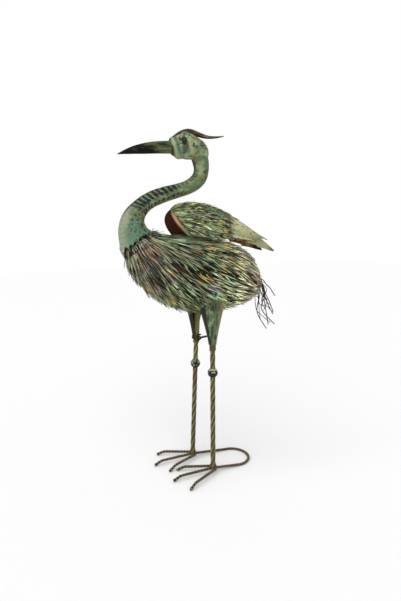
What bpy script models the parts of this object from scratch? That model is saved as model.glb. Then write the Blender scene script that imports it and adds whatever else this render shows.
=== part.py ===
"""Garden heron in painted sheet iron, standing on feet bent from ribbed bar.

Metres, +Z up. The bird looks along -X, its left side is at -Y, and it stands on z = 0.
Free forms are given as a few points of the bird's side view, joined by smooth curves.
Everything above the legs is measured from the hip's height.
"""

import math

import bmesh
import bpy
from mathutils import Matrix, Vector

# Fits shared by all pieces
GAP = 0.0003            # left between two pieces that touch
WELD = 0.00002          # corners closer than this are one corner
TRIM_PLAY = 0.0012      # left over the feathers by what is trimmed to fit the body

# Bars, tubes and balls of the legs
LEG_BAR = 0.010         # side of the square bar that is twisted into each leg
BAR_PITCH = 0.088       # length of one full turn of the twist
TUBE_WALL = 0.0015
BORE_PLAY = 0.0003      # radial play of the twisted bar in its tube and ball
BALL_RADIUS = 0.0140
TOE_BAR = 0.0080        # ribbed bar of the toes and of the loop behind the feet
WELD_HEIGHT = 0.009     # weld cone where a leg stands on its foot
WELD_SPREAD = 0.0035    # how far the weld cone reaches beyond the twisted bar

# Stance
LEG_SPREAD = 0.098      # between the axes of the two legs
HIP_X = 0.006
HIP_HEIGHT = 0.500
STEP = 0.021            # how far the left foot stands behind the right one
SOCKET_HEIGHT = 0.361   # lower end of each upper leg tube
BALL_DROP = 0.063       # knee ball's middle under the tube's end
BAR_INSERT = 0.040      # length of the twisted bar inside the tube

# Feet
LOOP_REACH = 0.148      # how far the loop behind the feet reaches from the feet's middle
ANKLE_RISE = 0.0145     # height of the bar's axis under the leg
MID_TOE = 0.099         # ankle to knuckle
OUTER_TOE = 0.090
INNER_TOE = 0.084
CLAW = 0.024            # knuckle to tip
OUTER_FAN = math.radians(26)
INNER_FAN = math.radians(22)
TOE_START = 0.006       # how far a side toe's end reaches behind the leg
KNUCKLE_BEND = 0.006    # how far the knuckle's rounding reaches each way

# Thigh plates
THIGH_SHEET = 0.0018
THIGH_FOOT = 0.017      # plate's lower end above the tube's end
THIGH_TUCK = 0.013      # plate's upper end above the hip, trimmed to the body
THIGH_TOP_LENGTH = 0.046
THIGH_TOP_WIDTH = 0.023

# Brace between the upper leg tubes
BRACE_WIRE = 0.0050
BRACE_LOW = 0.015       # its end on the right leg, above the tube's end
BRACE_HIGH = 0.042      # its end on the left leg, above the tube's end
BRACE_BEND = 0.012      # how far its middle stands behind the straight line

# Sheet and feathers
SHEET = 0.0016
FEATHER_RISE = 0.0070   # how far a feather tip stands off the body
FEATHER_ROWS = 9
FEATHERS_AROUND = 20
WING_ROWS = 6
WING_FEATHER_RISE = 0.0030
COLLAR_DEPTH = 0.016    # how far the neck's jagged hem covers the breast
COLLAR_TEETH = 11
COLLAR_FLARE = 0.0035

# Tail wires
WIRE = 0.0024
WIRE_POCKET = 0.0150    # radius of the hole in the rump that the wires come out of
POCKET_DEPTH = 0.022
POCKET_REACH = 0.040    # how far the cut for the pocket goes out past the rump

# Head
EYE_RADIUS = 0.0058
EYE_SHARE = 0.31        # place of the eye along the head
EYE_ANGLE = math.radians(58)

# Head: x, z of the middle, half of the height, half of the width
HEAD_LINE = [
    (-0.0950, 0.3925, 0.0040, 0.0040),
    (-0.0880, 0.3932, 0.0190, 0.0150),
    (-0.0790, 0.3938, 0.0248, 0.0195),
    (-0.0660, 0.3955, 0.0310, 0.0230),
    (-0.0500, 0.3980, 0.0345, 0.0252),
    (-0.0330, 0.3960, 0.0320, 0.0255),
    (-0.0160, 0.3910, 0.0285, 0.0243),
    (-0.0010, 0.3865, 0.0245, 0.0215),
    (0.0090, 0.3820, 0.0165, 0.0160),
    (0.0140, 0.3780, 0.0040, 0.0040),
]

# Side view of the neck, from the breast up: x, z, radius in the side view, half of the width
NECK_LINE = [
    (-0.1840, 0.1580, 0.0450, 0.0400),
    (-0.1915, 0.1760, 0.0395, 0.0360),
    (-0.1940, 0.1920, 0.0350, 0.0325),
    (-0.1925, 0.2080, 0.0305, 0.0290),
    (-0.1860, 0.2230, 0.0262, 0.0255),
    (-0.1740, 0.2380, 0.0225, 0.0225),
    (-0.1560, 0.2530, 0.0205, 0.0210),
    (-0.1320, 0.2655, 0.0200, 0.0205),
    (-0.1020, 0.2760, 0.0190, 0.0195),
    (-0.0720, 0.2845, 0.0178, 0.0188),
    (-0.0450, 0.2935, 0.0178, 0.0185),
    (-0.0230, 0.3060, 0.0190, 0.0185),
    (-0.0090, 0.3220, 0.0198, 0.0185),
    (-0.0045, 0.3400, 0.0200, 0.0185),
    (-0.0060, 0.3580, 0.0218, 0.0190),
    (-0.0110, 0.3760, 0.0230, 0.0195),
]

# Body: upper and lower end of each section in the side view, and half of its width
BODY_SECTIONS = [
    (-0.1470, 0.1820, -0.2170, 0.1330, 0.0370),
    (-0.1270, 0.1770, -0.2120, 0.1020, 0.0490),
    (-0.0970, 0.1720, -0.1960, 0.0720, 0.0600),
    (-0.0550, 0.1690, -0.1660, 0.0320, 0.0710),
    (-0.0080, 0.1650, -0.1200, -0.0040, 0.0790),
    (0.0420, 0.1580, -0.0600, -0.0300, 0.0830),
    (0.0850, 0.1470, 0.0080, -0.0360, 0.0800),
    (0.1200, 0.1290, 0.0720, -0.0320, 0.0700),
    (0.1440, 0.1040, 0.1220, -0.0220, 0.0530),
    (0.1640, 0.0760, 0.1580, -0.0050, 0.0340),
    (0.1790, 0.0480, 0.1820, 0.0200, 0.0130),
]
BODY_SQUARENESS = 2.6   # 2 is an ellipse, more is fuller at the shoulders

# Beak: x, z of its axis, half of its height, half of its width
BEAK_LINE = [
    (-0.2270, 0.3660, 0.0008, 0.0008),
    (-0.2040, 0.3735, 0.0055, 0.0035),
    (-0.1830, 0.3790, 0.0088, 0.0055),
    (-0.1620, 0.3830, 0.0115, 0.0072),
    (-0.1400, 0.3865, 0.0135, 0.0088),
    (-0.1180, 0.3890, 0.0148, 0.0102),
    (-0.0820, 0.3920, 0.0160, 0.0120),
]

# Crest: x, z of its fold, depth of its flanks, half of its width
CREST_LINE = [
    (-0.0930, 0.4120, 0.0040, 0.0040),
    (-0.0830, 0.4195, 0.0080, 0.0085),
    (-0.0670, 0.4310, 0.0100, 0.0110),
    (-0.0500, 0.4385, 0.0110, 0.0120),
    (-0.0340, 0.4400, 0.0115, 0.0115),
    (-0.0160, 0.4360, 0.0100, 0.0100),
    (0.0000, 0.4310, 0.0080, 0.0085),
    (0.0190, 0.4275, 0.0056, 0.0066),
    (0.0400, 0.4280, 0.0036, 0.0042),
    (0.0620, 0.4310, 0.0012, 0.0012),
]

# Left wing: its ridge edge and its lower edge, front to tip, as x, y, z
WING_RIDGE = [
    (-0.0930, -0.0030, 0.2360),
    (-0.0790, -0.0030, 0.2450),
    (-0.0480, -0.0030, 0.2520),
    (-0.0150, -0.0035, 0.2530),
    (0.0200, -0.0050, 0.2460),
    (0.0600, -0.0090, 0.2300),
    (0.1000, -0.0150, 0.2060),
    (0.1450, -0.0220, 0.1760),
    (0.1850, -0.0280, 0.1470),
    (0.2080, -0.0320, 0.1270),
]
WING_HEM = [
    (-0.0690, -0.0580, 0.1720),
    (-0.0420, -0.0640, 0.1690),
    (-0.0150, -0.0670, 0.1660),
    (0.0200, -0.0670, 0.1620),
    (0.0500, -0.0640, 0.1610),
    (0.0800, -0.0590, 0.1560),
    (0.1100, -0.0530, 0.1510),
    (0.1400, -0.0470, 0.1400),
    (0.1700, -0.0400, 0.1330),
    (0.2070, -0.0330, 0.1240),
]
WING_BULGE = 0.013
WING_BROW = 0.015       # how far the front rim swells forward between its ends

# Tail wires: start across and up in the pocket, then the x, y, z that each wire passes
TAIL_WIRES = [
    ((-0.006, 0.009), [(0.198, -0.013, 0.026), (0.206, -0.017, 0.019), (0.223, -0.021, -0.007)]),
    ((0.004, 0.010), [(0.198, 0.006, 0.022), (0.205, 0.008, 0.008), (0.202, 0.009, -0.014)]),
    ((-0.004, 0.002), [(0.201, -0.006, -0.002), (0.213, -0.008, -0.026), (0.226, -0.010, -0.058)]),
    ((0.010, 0.003), [(0.205, 0.014, 0.005), (0.222, 0.018, -0.032), (0.246, 0.022, -0.071)]),
    ((0.001, -0.004), [(0.197, 0.001, -0.005), (0.206, 0.001, -0.047), (0.218, 0.003, -0.097)]),
    ((-0.008, -0.005), [(0.190, -0.015, -0.007), (0.180, -0.018, -0.044), (0.224, -0.020, -0.091)]),
    ((0.007, -0.008), [(0.190, 0.010, -0.007), (0.184, 0.012, -0.058), (0.220, 0.015, -0.112)]),
]


def smooth_line(points, share):
    """The point at share 0 to 1 of a smooth curve through the given points."""
    reach = share * (len(points) - 1)
    index = min(int(reach), len(points) - 2)
    t = reach - index
    before = points[max(index - 1, 0)]
    start, end = points[index], points[index + 1]
    after = points[min(index + 2, len(points) - 1)]
    mixed = []
    for a, b, c, d in zip(before, start, end, after):
        bend = 2 * a - 5 * b + 4 * c - d
        turn = 3 * b - a - 3 * c + d
        mixed.append(b + 0.5 * t * (c - a + t * (bend + t * turn)))
    return mixed


def mapped_grid(rows, columns, place):
    """A grid whose corners move to place(row, column). Corners that then coincide are welded."""
    bm = bmesh.new()
    bmesh.ops.create_grid(bm, x_segments=rows, y_segments=columns, size=0.5)
    for corner in bm.verts:
        row = round((corner.co.x + 0.5) * rows)
        column = round((corner.co.y + 0.5) * columns)
        corner.co = place(row, column)
    bmesh.ops.remove_doubles(bm, verts=bm.verts, dist=WELD)
    bmesh.ops.delete(bm, geom=[edge for edge in bm.edges if edge.is_wire], context="EDGES")
    return bm


def finish(name, colour, roughness, metallic):
    """A plain painted or bare metal finish."""
    material = bpy.data.materials.new(name)
    material.use_nodes = True
    shader = material.node_tree.nodes["Principled BSDF"]
    shader.inputs["Base Color"].default_value = (*colour, 1)
    shader.inputs["Roughness"].default_value = roughness
    shader.inputs["Metallic"].default_value = metallic
    return material


def add_piece(name, bm, material, parent, location=(0, 0, 0), lean=0.0):
    """Closes the mesh, turns its faces outwards and makes it a named object."""
    bmesh.ops.dissolve_degenerate(bm, edges=bm.edges, dist=WELD)
    bmesh.ops.holes_fill(bm, edges=bm.edges, sides=0)
    bmesh.ops.triangulate(bm, faces=bm.faces)
    bmesh.ops.recalc_face_normals(bm, faces=bm.faces)
    mesh = bpy.data.meshes.new(name)
    bm.to_mesh(mesh)
    bm.free()
    mesh.materials.append(material)
    mesh.shade_smooth()
    mesh.set_sharp_from_angle(angle=math.radians(35))
    piece = bpy.data.objects.new(name, mesh)
    bpy.context.scene.collection.objects.link(piece)
    piece.parent = parent
    piece.location = location
    piece.rotation_euler.y = lean
    return piece


def cut_away(piece, cutter):
    """Takes the cutter's space out of the piece."""
    cutter.hide_render = True
    cutter.display_type = "WIRE"
    modifier = piece.modifiers.new("cut " + cutter.name, "BOOLEAN")
    modifier.operation = "DIFFERENCE"
    modifier.object = cutter


def bar_along(name, points, thickness, material, parent, sides=8, aside=(0, 0, 1)):
    """A round bar whose axis runs through the points and never along the aside direction."""
    facet_down = math.pi / sides
    total = len(points) - 1
    line = [Vector(p) for p in points]

    def place(row, column):
        ahead = line[min(row + 1, total)] - line[max(row - 1, 0)]
        across = ahead.cross(Vector(aside)).normalized()
        upward = across.cross(ahead).normalized()
        angle = facet_down + 2 * math.pi * column / sides
        return line[row] + thickness / 2 * (math.cos(angle) * upward + math.sin(angle) * across)

    return add_piece(name, mapped_grid(total, sides, place), material, parent)


def rounded_corner(before, corner, after, reach, steps=3):
    """Points that round a corner between two straight runs."""
    start = corner + (before - corner).normalized() * reach
    end = corner + (after - corner).normalized() * reach
    bend = []
    for step in range(steps + 1):
        t = step / steps
        bend.append((1 - t) ** 2 * start + 2 * t * (1 - t) * corner + t ** 2 * end)
    return bend


# Body

def body_section(share):
    """Centre, half height as a vector and half width of the body at a share of its length."""
    top_x, top_z, low_x, low_z, half_width = smooth_line(BODY_SECTIONS, share)
    top = Vector((top_x, 0, HIP_HEIGHT + top_z))
    low = Vector((low_x, 0, HIP_HEIGHT + low_z))
    return (top + low) / 2, (top - low) / 2, half_width


def body_point(share, angle, rise):
    """A point of the body's skin. The angle is 0 along the back, and rise lifts it off the skin."""
    centre, half_height, half_width = body_section(share)
    power = 2 / BODY_SQUARENESS
    up = math.copysign(abs(math.cos(angle)) ** power, math.cos(angle))
    side = math.copysign(abs(math.sin(angle)) ** power, math.sin(angle))
    height = half_height.length + rise
    return centre + half_height.normalized() * height * up + Vector((0, half_width + rise, 0)) * side


def lapped_rings(count, length, lap, point):
    """Rings of rows that lap over each other: share, reach of the tips and share of the lift."""
    rings = [(0.0, 0.0, 0.0)]
    for order in range(count):
        rings.append(((order + 0.35) * length, 0.0, 0.3))
        rings.append(((order + 1) * length, point * length, 1.0))
        rings.append(((order + 1 - lap) * length, 0.0, 0.0))
    return rings + [(1.0, 0.0, 0.0)]


def feathered_body(material, parent):
    """The body with rows of pointed feathers, each row lying over the next one back."""
    columns = 2 * FEATHERS_AROUND
    rings = lapped_rings(FEATHER_ROWS, 1 / (FEATHER_ROWS + 0.5), 0.42, 0.30)
    last = len(rings) + 1

    def place(row, column):
        if row in (0, last):
            return body_section(row / last)[0]
        share, point, lift = rings[row - 1]
        tip = point if column % 2 == 0 else -point
        return body_point(share + tip, 2 * math.pi * column / columns, FEATHER_RISE * lift)

    return add_piece("body", mapped_grid(last, columns, place), material, parent)


def body_envelope(name, clearance, material, parent):
    """The smooth shape that holds all the feathers, used to trim what meets the body."""
    rows, columns = 16, 28
    rise = FEATHER_RISE + clearance
    front = (body_section(0)[0] - body_section(0.05)[0]).normalized() * clearance
    rear = (body_section(1)[0] - body_section(0.95)[0]).normalized() * clearance

    def place(row, column):
        share = min(max((row - 1) / (rows - 2), 0), 1)
        beyond = {0: front, 1: front, rows - 1: rear, rows: rear}.get(row, Vector())
        if row in (0, rows):
            return body_section(share)[0] + beyond
        return body_point(share, 2 * math.pi * column / columns, rise) + beyond

    return add_piece(name, mapped_grid(rows, columns, place), material, parent)


# Neck and head

def neck_frame(share):
    """Centre, direction across the neck in the side view, radius and half width."""
    x, z, radius, half_width = smooth_line(NECK_LINE, share)
    ahead = smooth_line(NECK_LINE, min(share + 0.01, 1))
    behind = smooth_line(NECK_LINE, max(share - 0.01, 0))
    tangent = Vector((ahead[0] - behind[0], 0, ahead[1] - behind[1])).normalized()
    across = Vector((tangent.z, 0, -tangent.x))
    return Vector((x, 0, HIP_HEIGHT + z)), across, tangent, radius, half_width


def neck(material, parent):
    """S-shaped neck whose jagged hem laps over the front of the body."""
    rows, columns = 23, 2 * COLLAR_TEETH
    _, _, tangent, _, _ = neck_frame(0)

    def ring(share, column, grow=0.0):
        mid, side, _, radius, half_width = neck_frame(share)
        angle = 2 * math.pi * column / columns
        across = Vector((0, (half_width + grow) * math.sin(angle), 0))
        return mid + side * (radius + grow) * math.cos(angle) + across

    def place(row, column):
        tooth = COLLAR_DEPTH * (1.0 if column % 2 == 0 else 0.4)
        if row == 0:
            return neck_frame(0)[0] - tangent * 2 * COLLAR_DEPTH
        if row == 1:
            return ring(0, column, -3 * SHEET) - tangent * 2 * COLLAR_DEPTH
        if row == 2:
            return ring(0, column, COLLAR_FLARE - 2 * SHEET) - tangent * tooth
        if row == 3:
            return ring(0, column, COLLAR_FLARE) - tangent * tooth
        return ring((row - 4) / (rows - 5), column) if row < rows else neck_frame(1)[0]

    return add_piece("neck", mapped_grid(rows, columns, place), material, parent)


def head_point(share, angle, clearance=0.0):
    """A point of the head's skin, front to nape. The angle is 0 at the crown."""
    x, z, half_height, half_width = smooth_line(HEAD_LINE, share)
    side = (half_width + clearance) * math.sin(angle)
    up = (half_height + clearance) * math.cos(angle)
    return Vector((x + clearance * (2 * share - 1), side, HIP_HEIGHT + z + up))


def head_shape(name, clearance, material, parent):
    """Egg-shaped head, longest from beak to nape."""
    rows, columns = 12, 16

    def place(row, column):
        if row in (0, rows):
            share = row / rows
            return (head_point(share, 0, clearance) + head_point(share, math.pi, clearance)) / 2
        return head_point((row - 1) / (rows - 2), 2 * math.pi * column / columns, clearance)

    return add_piece(name, mapped_grid(rows, columns, place), material, parent)


def beak(material, parent):
    """Long beak with a keel along its top and a flat underside."""
    rows, columns = 9, 10

    def place(row, column):
        x, z, half_height, half_width = smooth_line(BEAK_LINE, row / rows)
        angle = 2 * math.pi * column / columns
        up = math.cos(angle)
        narrow = 1 - 0.35 * max(up, 0)
        side = half_width * math.sin(angle) * narrow
        return Vector((x, side, HIP_HEIGHT + z + half_height * up))

    return add_piece("beak", mapped_grid(rows, columns, place), material, parent)


def crest(material, parent):
    """Folded strip that runs up from the beak, over the crown and out into a long point."""
    rows = 18

    def place(row, column):
        x, z, depth, half_width = smooth_line(CREST_LINE, row / rows)
        fold = Vector((x, 0, HIP_HEIGHT + z))
        thickness = SHEET if 0 < row < rows else 0.4 * SHEET
        right = fold + Vector((0, half_width, -depth))
        left = fold + Vector((0, -half_width, -depth))
        under = Vector((0, 0, -thickness * 1.4))
        outline = [fold, right, right + under, fold + 1.5 * under, left + under, left]
        return outline[column % 6]

    return add_piece("crest", mapped_grid(rows, 6, place), material, parent)


def eye(name, side, material, parent):
    """Ball eye let into one cheek."""
    bm = bmesh.new()
    bmesh.ops.create_uvsphere(bm, u_segments=8, v_segments=6, radius=EYE_RADIUS)
    return add_piece(name, bm, material, parent, eye_centre(side))


def eye_centre(side):
    """A little under the head's skin."""
    return head_point(EYE_SHARE, side * EYE_ANGLE, -0.25 * EYE_RADIUS)


# Wings

def wing_point(share, across, side, rise=0.0):
    """A point of a wing's outer face. across is 0 at the ridge and 1 at the lower hem."""
    hip = Vector((0, 0, HIP_HEIGHT))
    ridge = hip + Vector(smooth_line(WING_RIDGE, share))
    hem = hip + Vector(smooth_line(WING_HEM, share))
    span = hem - ridge
    outward = Vector((1, 0, 0)).cross(span).normalized()
    if outward.y > 0:
        outward.negate()
    swell = 4 * across * (1 - across)
    narrowing = math.sin(math.pi * min(0.5, share + 0.18)) * (1 - share) ** 0.5
    point = ridge + span * across + outward * (WING_BULGE * swell * narrowing + rise)
    point.x -= WING_BROW * swell * (1 - share) ** 6
    point.y *= -side
    return point


def wing(name, side, material, parent):
    """A curved leaf of sheet with lapping rows of feathers and a notched lower edge."""
    across_steps = 8
    columns = 2 * across_steps + 2
    rings = lapped_rings(WING_ROWS, 1 / (WING_ROWS + 0.5), 0.30, 0.12)
    rows = len(rings) - 1

    def place(row, column):
        column %= columns
        inner = column > across_steps
        step = columns - 1 - column if inner else column
        across = step / across_steps
        share, depth = row / rows, -SHEET if inner else 0.0
        if not inner and 0 < step < across_steps:
            share, point, lift = rings[row]
            share += point if step % 2 == 0 else -point
            depth = WING_FEATHER_RISE * lift
        if step == across_steps and row % 2 and 0.3 < share < 1:
            across -= 0.07 * (1 - share)
        return wing_point(share, across, side, depth)

    return add_piece(name, mapped_grid(rows, columns, place), material, parent)


# Legs

class Leg:
    """One leg's axis, from the ankle on its foot up to the hip."""

    def __init__(self, side):
        self.side = side
        self.y = side * LEG_SPREAD / 2
        self.ankle = Vector((-side * STEP / 2, self.y, ANKLE_RISE))
        self.hip = Vector((HIP_X, self.y, HIP_HEIGHT))
        self.direction = (self.hip - self.ankle).normalized()
        self.lean = math.atan2(self.direction.x, self.direction.z)

    def along(self, height):
        """Distance from the ankle to a height above the ground, along the leg."""
        return (height - ANKLE_RISE) / self.direction.z


def bar_radius():
    """Radius that the twisted square bar sweeps."""
    return LEG_BAR / math.sqrt(2)


def turned(profile, sides):
    """A closed profile of (radius, height) points turned round the leg's axis."""
    count = len(profile)

    def place(row, column):
        angle = 2 * math.pi * row / sides
        radius, height = profile[column % count]
        return Vector((radius * math.cos(angle), radius * math.sin(angle), height))

    return mapped_grid(sides, count, place)


def twisted_bar(leg, material, parent, name):
    """Square bar twisted along its length, with a weld cone at its foot."""
    bottom = TOE_BAR / 2 + 3 * GAP
    top = leg.along(SOCKET_HEIGHT + BAR_INSERT)
    straight = top - bottom - WELD_HEIGHT
    turns = straight / BAR_PITCH
    rows = round(turns * 7) + 1

    def place(row, column):
        share = max(row - 1, 0) / (rows - 1)
        flat = math.cos(math.pi / 4) if column % 2 else 1.0
        radius = bar_radius() * flat if row else bar_radius() + WELD_SPREAD
        height = bottom + WELD_HEIGHT + share * straight if row else bottom
        angle = 2 * math.pi * (column / 8 + turns * share)
        return Vector((radius * math.cos(angle), radius * math.sin(angle), height))

    bm = mapped_grid(rows, 8, place)
    return add_piece(name, bm, material, parent, leg.ankle, leg.lean)


def leg_tube(leg, material, parent, name):
    """Upper leg tube, open below where the twisted bar goes in."""
    bore = bar_radius() + BORE_PLAY
    outside = bore + TUBE_WALL
    low = leg.along(SOCKET_HEIGHT)
    roof = leg.along(SOCKET_HEIGHT + BAR_INSERT) + GAP
    top = leg.along(HIP_HEIGHT)
    profile = [(bore, low), (outside, low), (outside, top), (0, top), (0, roof), (bore, roof)]
    return add_piece(name, turned(profile, 14), material, parent, leg.ankle, leg.lean)


def tube_radius():
    """Outside radius of the upper leg tube."""
    return bar_radius() + BORE_PLAY + TUBE_WALL


def knee_ball(leg, material, parent, name):
    """Ball threaded on the twisted bar."""
    bore = bar_radius() + BORE_PLAY
    centre = leg.along(SOCKET_HEIGHT - BALL_DROP)
    opening = math.asin(bore / BALL_RADIUS)
    steps = 6
    profile = []
    for step in range(steps + 1):
        angle = opening + (math.pi - 2 * opening) * step / steps
        profile.append((BALL_RADIUS * math.sin(angle), centre - BALL_RADIUS * math.cos(angle)))
    return add_piece(name, turned(profile, 14), material, parent, leg.ankle, leg.lean)


def thigh(leg, material, parent, name):
    """Half cone of sheet that hugs the tube in front and outside, and flares up under the body."""
    steps, rows = 8, 5
    columns = 2 * steps + 2
    foot = tube_radius() + GAP
    low = leg.along(SOCKET_HEIGHT + THIGH_FOOT)
    rise = leg.along(HIP_HEIGHT + THIGH_TUCK) - low
    facing = math.pi - leg.side * math.radians(45)
    arc = math.radians(182)

    def place(row, column):
        flare = (row / rows) ** 1.2
        column %= columns
        outer = column <= steps
        step = column if outer else columns - 1 - column
        thick = THIGH_SHEET if outer else 0.0
        angle = facing + arc * (step / steps - 0.5)
        length = foot + (THIGH_TOP_LENGTH - foot) * flare + thick
        width = foot + (THIGH_TOP_WIDTH - foot) * flare + thick
        return Vector((length * math.cos(angle), width * math.sin(angle), low + rise * row / rows))

    bm = mapped_grid(rows, columns, place)
    return add_piece(name, bm, material, parent, leg.ankle, leg.lean)


# Feet

def toe_points(start, angle, length, side):
    """Axis of a toe: straight to the knuckle, then down to the ground."""
    ahead = Vector((-math.cos(angle), side * math.sin(angle), 0))
    tip_rise = TOE_BAR / 2
    knuckle = start + ahead * length
    knuckle.z = ANKLE_RISE - 0.0005
    drop = knuckle.z - tip_rise
    run = math.sqrt(max(CLAW ** 2 - drop ** 2, 0.25 * CLAW ** 2))
    tip = knuckle + ahead * run
    tip.z = tip_rise
    return [start] + rounded_corner(start, knuckle, tip, KNUCKLE_BEND) + [tip]


def foot_loop(legs, material, parent):
    """One bar bent into a hairpin: both middle toes, and the loop behind the feet."""
    right, left = legs
    radius = LEG_SPREAD / 2
    rest = TOE_BAR / 2 * math.cos(math.pi / 8)
    middle = LOOP_REACH - radius
    arc = []
    steps = 11
    for step in range(steps + 1):
        angle = math.pi * (0.5 - step / steps)
        arc.append(Vector((middle + radius * math.cos(angle), radius * math.sin(angle), rest)))
    right_toe = toe_points(right.ankle, 0, MID_TOE, right.side)
    left_toe = toe_points(left.ankle, 0, MID_TOE, left.side)
    points = list(reversed(right_toe)) + arc + left_toe
    return bar_along("foot_loop_and_middle_toes", points, TOE_BAR, material, parent)


def side_toe(leg, outer, material, parent, name):
    """A toe welded beside the middle one, on the leg's outer or inner side."""
    fan, reach = (OUTER_FAN, OUTER_TOE) if outer else (INNER_FAN, INNER_TOE)
    turn = leg.side if outer else -leg.side
    beside = TOE_BAR / 2 + TOE_BAR / 2 * math.cos(fan) + 2 * GAP
    start = leg.ankle + Vector((TOE_START, turn * beside, 0))
    return bar_along(name, toe_points(start, fan, reach, turn), TOE_BAR, material, parent)


def leg_brace(legs, material, parent):
    """Bent wire between the two upper leg tubes."""
    right, left = legs

    def beside(leg, height):
        point = leg.ankle + leg.direction * leg.along(SOCKET_HEIGHT + height)
        return point - Vector((0, leg.side * (tube_radius() + BRACE_WIRE / 2 + GAP), 0))

    low, high = beside(right, BRACE_LOW), beside(left, BRACE_HIGH)
    bend = (low + high) / 2 + Vector((BRACE_BEND, 0, 0))
    points = [low] + rounded_corner(low, bend, high, 4 * BRACE_WIRE) + [high]
    return bar_along("leg_brace", points, BRACE_WIRE, material, parent, sides=6)


# Tail

def rump():
    """Centre of the wires' pocket and the direction that it faces."""
    centre, _, _ = body_section(0.97)
    ahead = body_section(1.0)[0] - body_section(0.8)[0]
    return centre, ahead.normalized()


def tail_wire(index, material, parent):
    """One wire from the pocket's floor, out and down."""
    centre, facing = rump()
    upward = Vector((0, 1, 0)).cross(facing).normalized()
    if upward.z < 0:
        upward.negate()
    (across, up), passes = TAIL_WIRES[index]
    floor = centre - facing * (POCKET_DEPTH - WIRE)
    start = floor + Vector((0, across, 0)) + upward * up
    mouth = start + facing * (POCKET_DEPTH + 3 * WIRE)
    hip = Vector((0, 0, HIP_HEIGHT))
    route = [start, mouth] + [hip + Vector(p) for p in passes]
    steps = 7
    points = [Vector(smooth_line(route, step / steps)) for step in range(steps + 1)]
    return bar_along(f"tail_wire_{index + 1}", points, WIRE, material, parent, sides=4, aside=(0, 1, 0))


def pocket_cutter(material, parent):
    """Space in the rump that the wires come out of."""
    centre, facing = rump()
    bm = bmesh.new()
    length = POCKET_DEPTH + POCKET_REACH
    bmesh.ops.create_cone(
        bm, cap_ends=True, segments=14, radius1=WIRE_POCKET, radius2=WIRE_POCKET, depth=length
    )
    turn = Vector((0, 0, 1)).rotation_difference(facing).to_matrix()
    bmesh.ops.rotate(bm, verts=bm.verts, matrix=turn)
    place = centre + facing * (length / 2 - POCKET_DEPTH)
    return add_piece("pocket_cutter", bm, material, parent, place)


def socket_cutter(leg, material, parent, name):
    """Space in the belly for one upper leg tube."""
    bm = bmesh.new()
    low = leg.along(SOCKET_HEIGHT)
    top = leg.along(HIP_HEIGHT) + GAP
    bmesh.ops.create_cone(
        bm, cap_ends=True, segments=16, radius1=tube_radius() + GAP, radius2=tube_radius() + GAP,
        depth=top - low,
    )
    bmesh.ops.translate(bm, verts=bm.verts, vec=(0, 0, (top + low) / 2))
    return add_piece(name, bm, material, parent, leg.ankle, leg.lean)


def centre_on_box(parent):
    """Moves the whole bird so that the origin is under the middle of its box."""
    bpy.context.view_layer.update()
    scene = bpy.context.evaluated_depsgraph_get()
    low = [math.inf] * 3
    high = [-math.inf] * 3
    for piece in parent.children:
        if piece.hide_render:
            continue
        shown = piece.evaluated_get(scene)
        for corner in shown.to_mesh().vertices:
            point = shown.matrix_world @ corner.co
            low = [min(a, b) for a, b in zip(low, point)]
            high = [max(a, b) for a, b in zip(high, point)]
        shown.to_mesh_clear()
    parent.location = (-(low[0] + high[0]) / 2, -(low[1] + high[1]) / 2, -low[2])


def main():
    for old in list(bpy.data.objects):
        bpy.data.objects.remove(old)
    heron = bpy.data.objects.new("heron", None)
    bpy.context.scene.collection.objects.link(heron)

    verdigris = finish("verdigris paint", (0.22, 0.33, 0.22), 0.55, 0.35)
    feathers = finish("feather paint", (0.24, 0.27, 0.14), 0.60, 0.35)
    horn = finish("beak paint", (0.05, 0.07, 0.04), 0.45, 0.30)
    crest_brown = finish("crest paint", (0.10, 0.07, 0.03), 0.50, 0.35)
    glass = finish("eye enamel", (0.02, 0.02, 0.02), 0.15, 0.0)
    bronze = finish("leg paint", (0.20, 0.16, 0.06), 0.50, 0.45)
    rust = finish("rusty bar", (0.16, 0.09, 0.05), 0.70, 0.40)
    iron = finish("dark wire", (0.05, 0.04, 0.035), 0.60, 0.50)

    right, left = Leg(1), Leg(-1)

    body = feathered_body(feathers, heron)
    trim = body_envelope("body_trim", TRIM_PLAY, feathers, heron)
    head = head_shape("head", 0.0, verdigris, heron)
    head_trim = head_shape("head_trim", GAP, verdigris, heron)
    neck_piece = neck(verdigris, heron)
    beak_piece = beak(horn, heron)
    crest_piece = crest(crest_brown, heron)
    cut_away(neck_piece, head_trim)
    cut_away(neck_piece, trim)
    cut_away(beak_piece, head_trim)
    cut_away(crest_piece, head_trim)
    for side, name in ((-1, "left"), (1, "right")):
        eye(f"eye_{name}", side, glass, heron)
        bm = bmesh.new()
        bmesh.ops.create_uvsphere(bm, u_segments=8, v_segments=6, radius=EYE_RADIUS + GAP)
        socket = add_piece(f"eye_socket_{name}", bm, verdigris, heron, eye_centre(side))
        cut_away(head, socket)
        cut_away(wing(f"wing_{name}", side, feathers, heron), trim)

    for leg, name in ((left, "left"), (right, "right")):
        twisted_bar(leg, bronze, heron, f"leg_bar_{name}")
        leg_tube(leg, bronze, heron, f"leg_tube_{name}")
        knee_ball(leg, verdigris, heron, f"knee_ball_{name}")
        cut_away(thigh(leg, verdigris, heron, f"thigh_plate_{name}"), trim)
        cut_away(body, socket_cutter(leg, feathers, heron, f"leg_socket_{name}"))
        side_toe(leg, False, rust, heron, f"toe_inner_{name}")
        side_toe(leg, True, rust, heron, f"toe_outer_{name}")
    foot_loop((right, left), rust, heron)
    leg_brace((right, left), iron, heron)

    cut_away(body, pocket_cutter(feathers, heron))
    for index in range(len(TAIL_WIRES)):
        tail_wire(index, iron, heron)
    centre_on_box(heron)


main()
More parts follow.
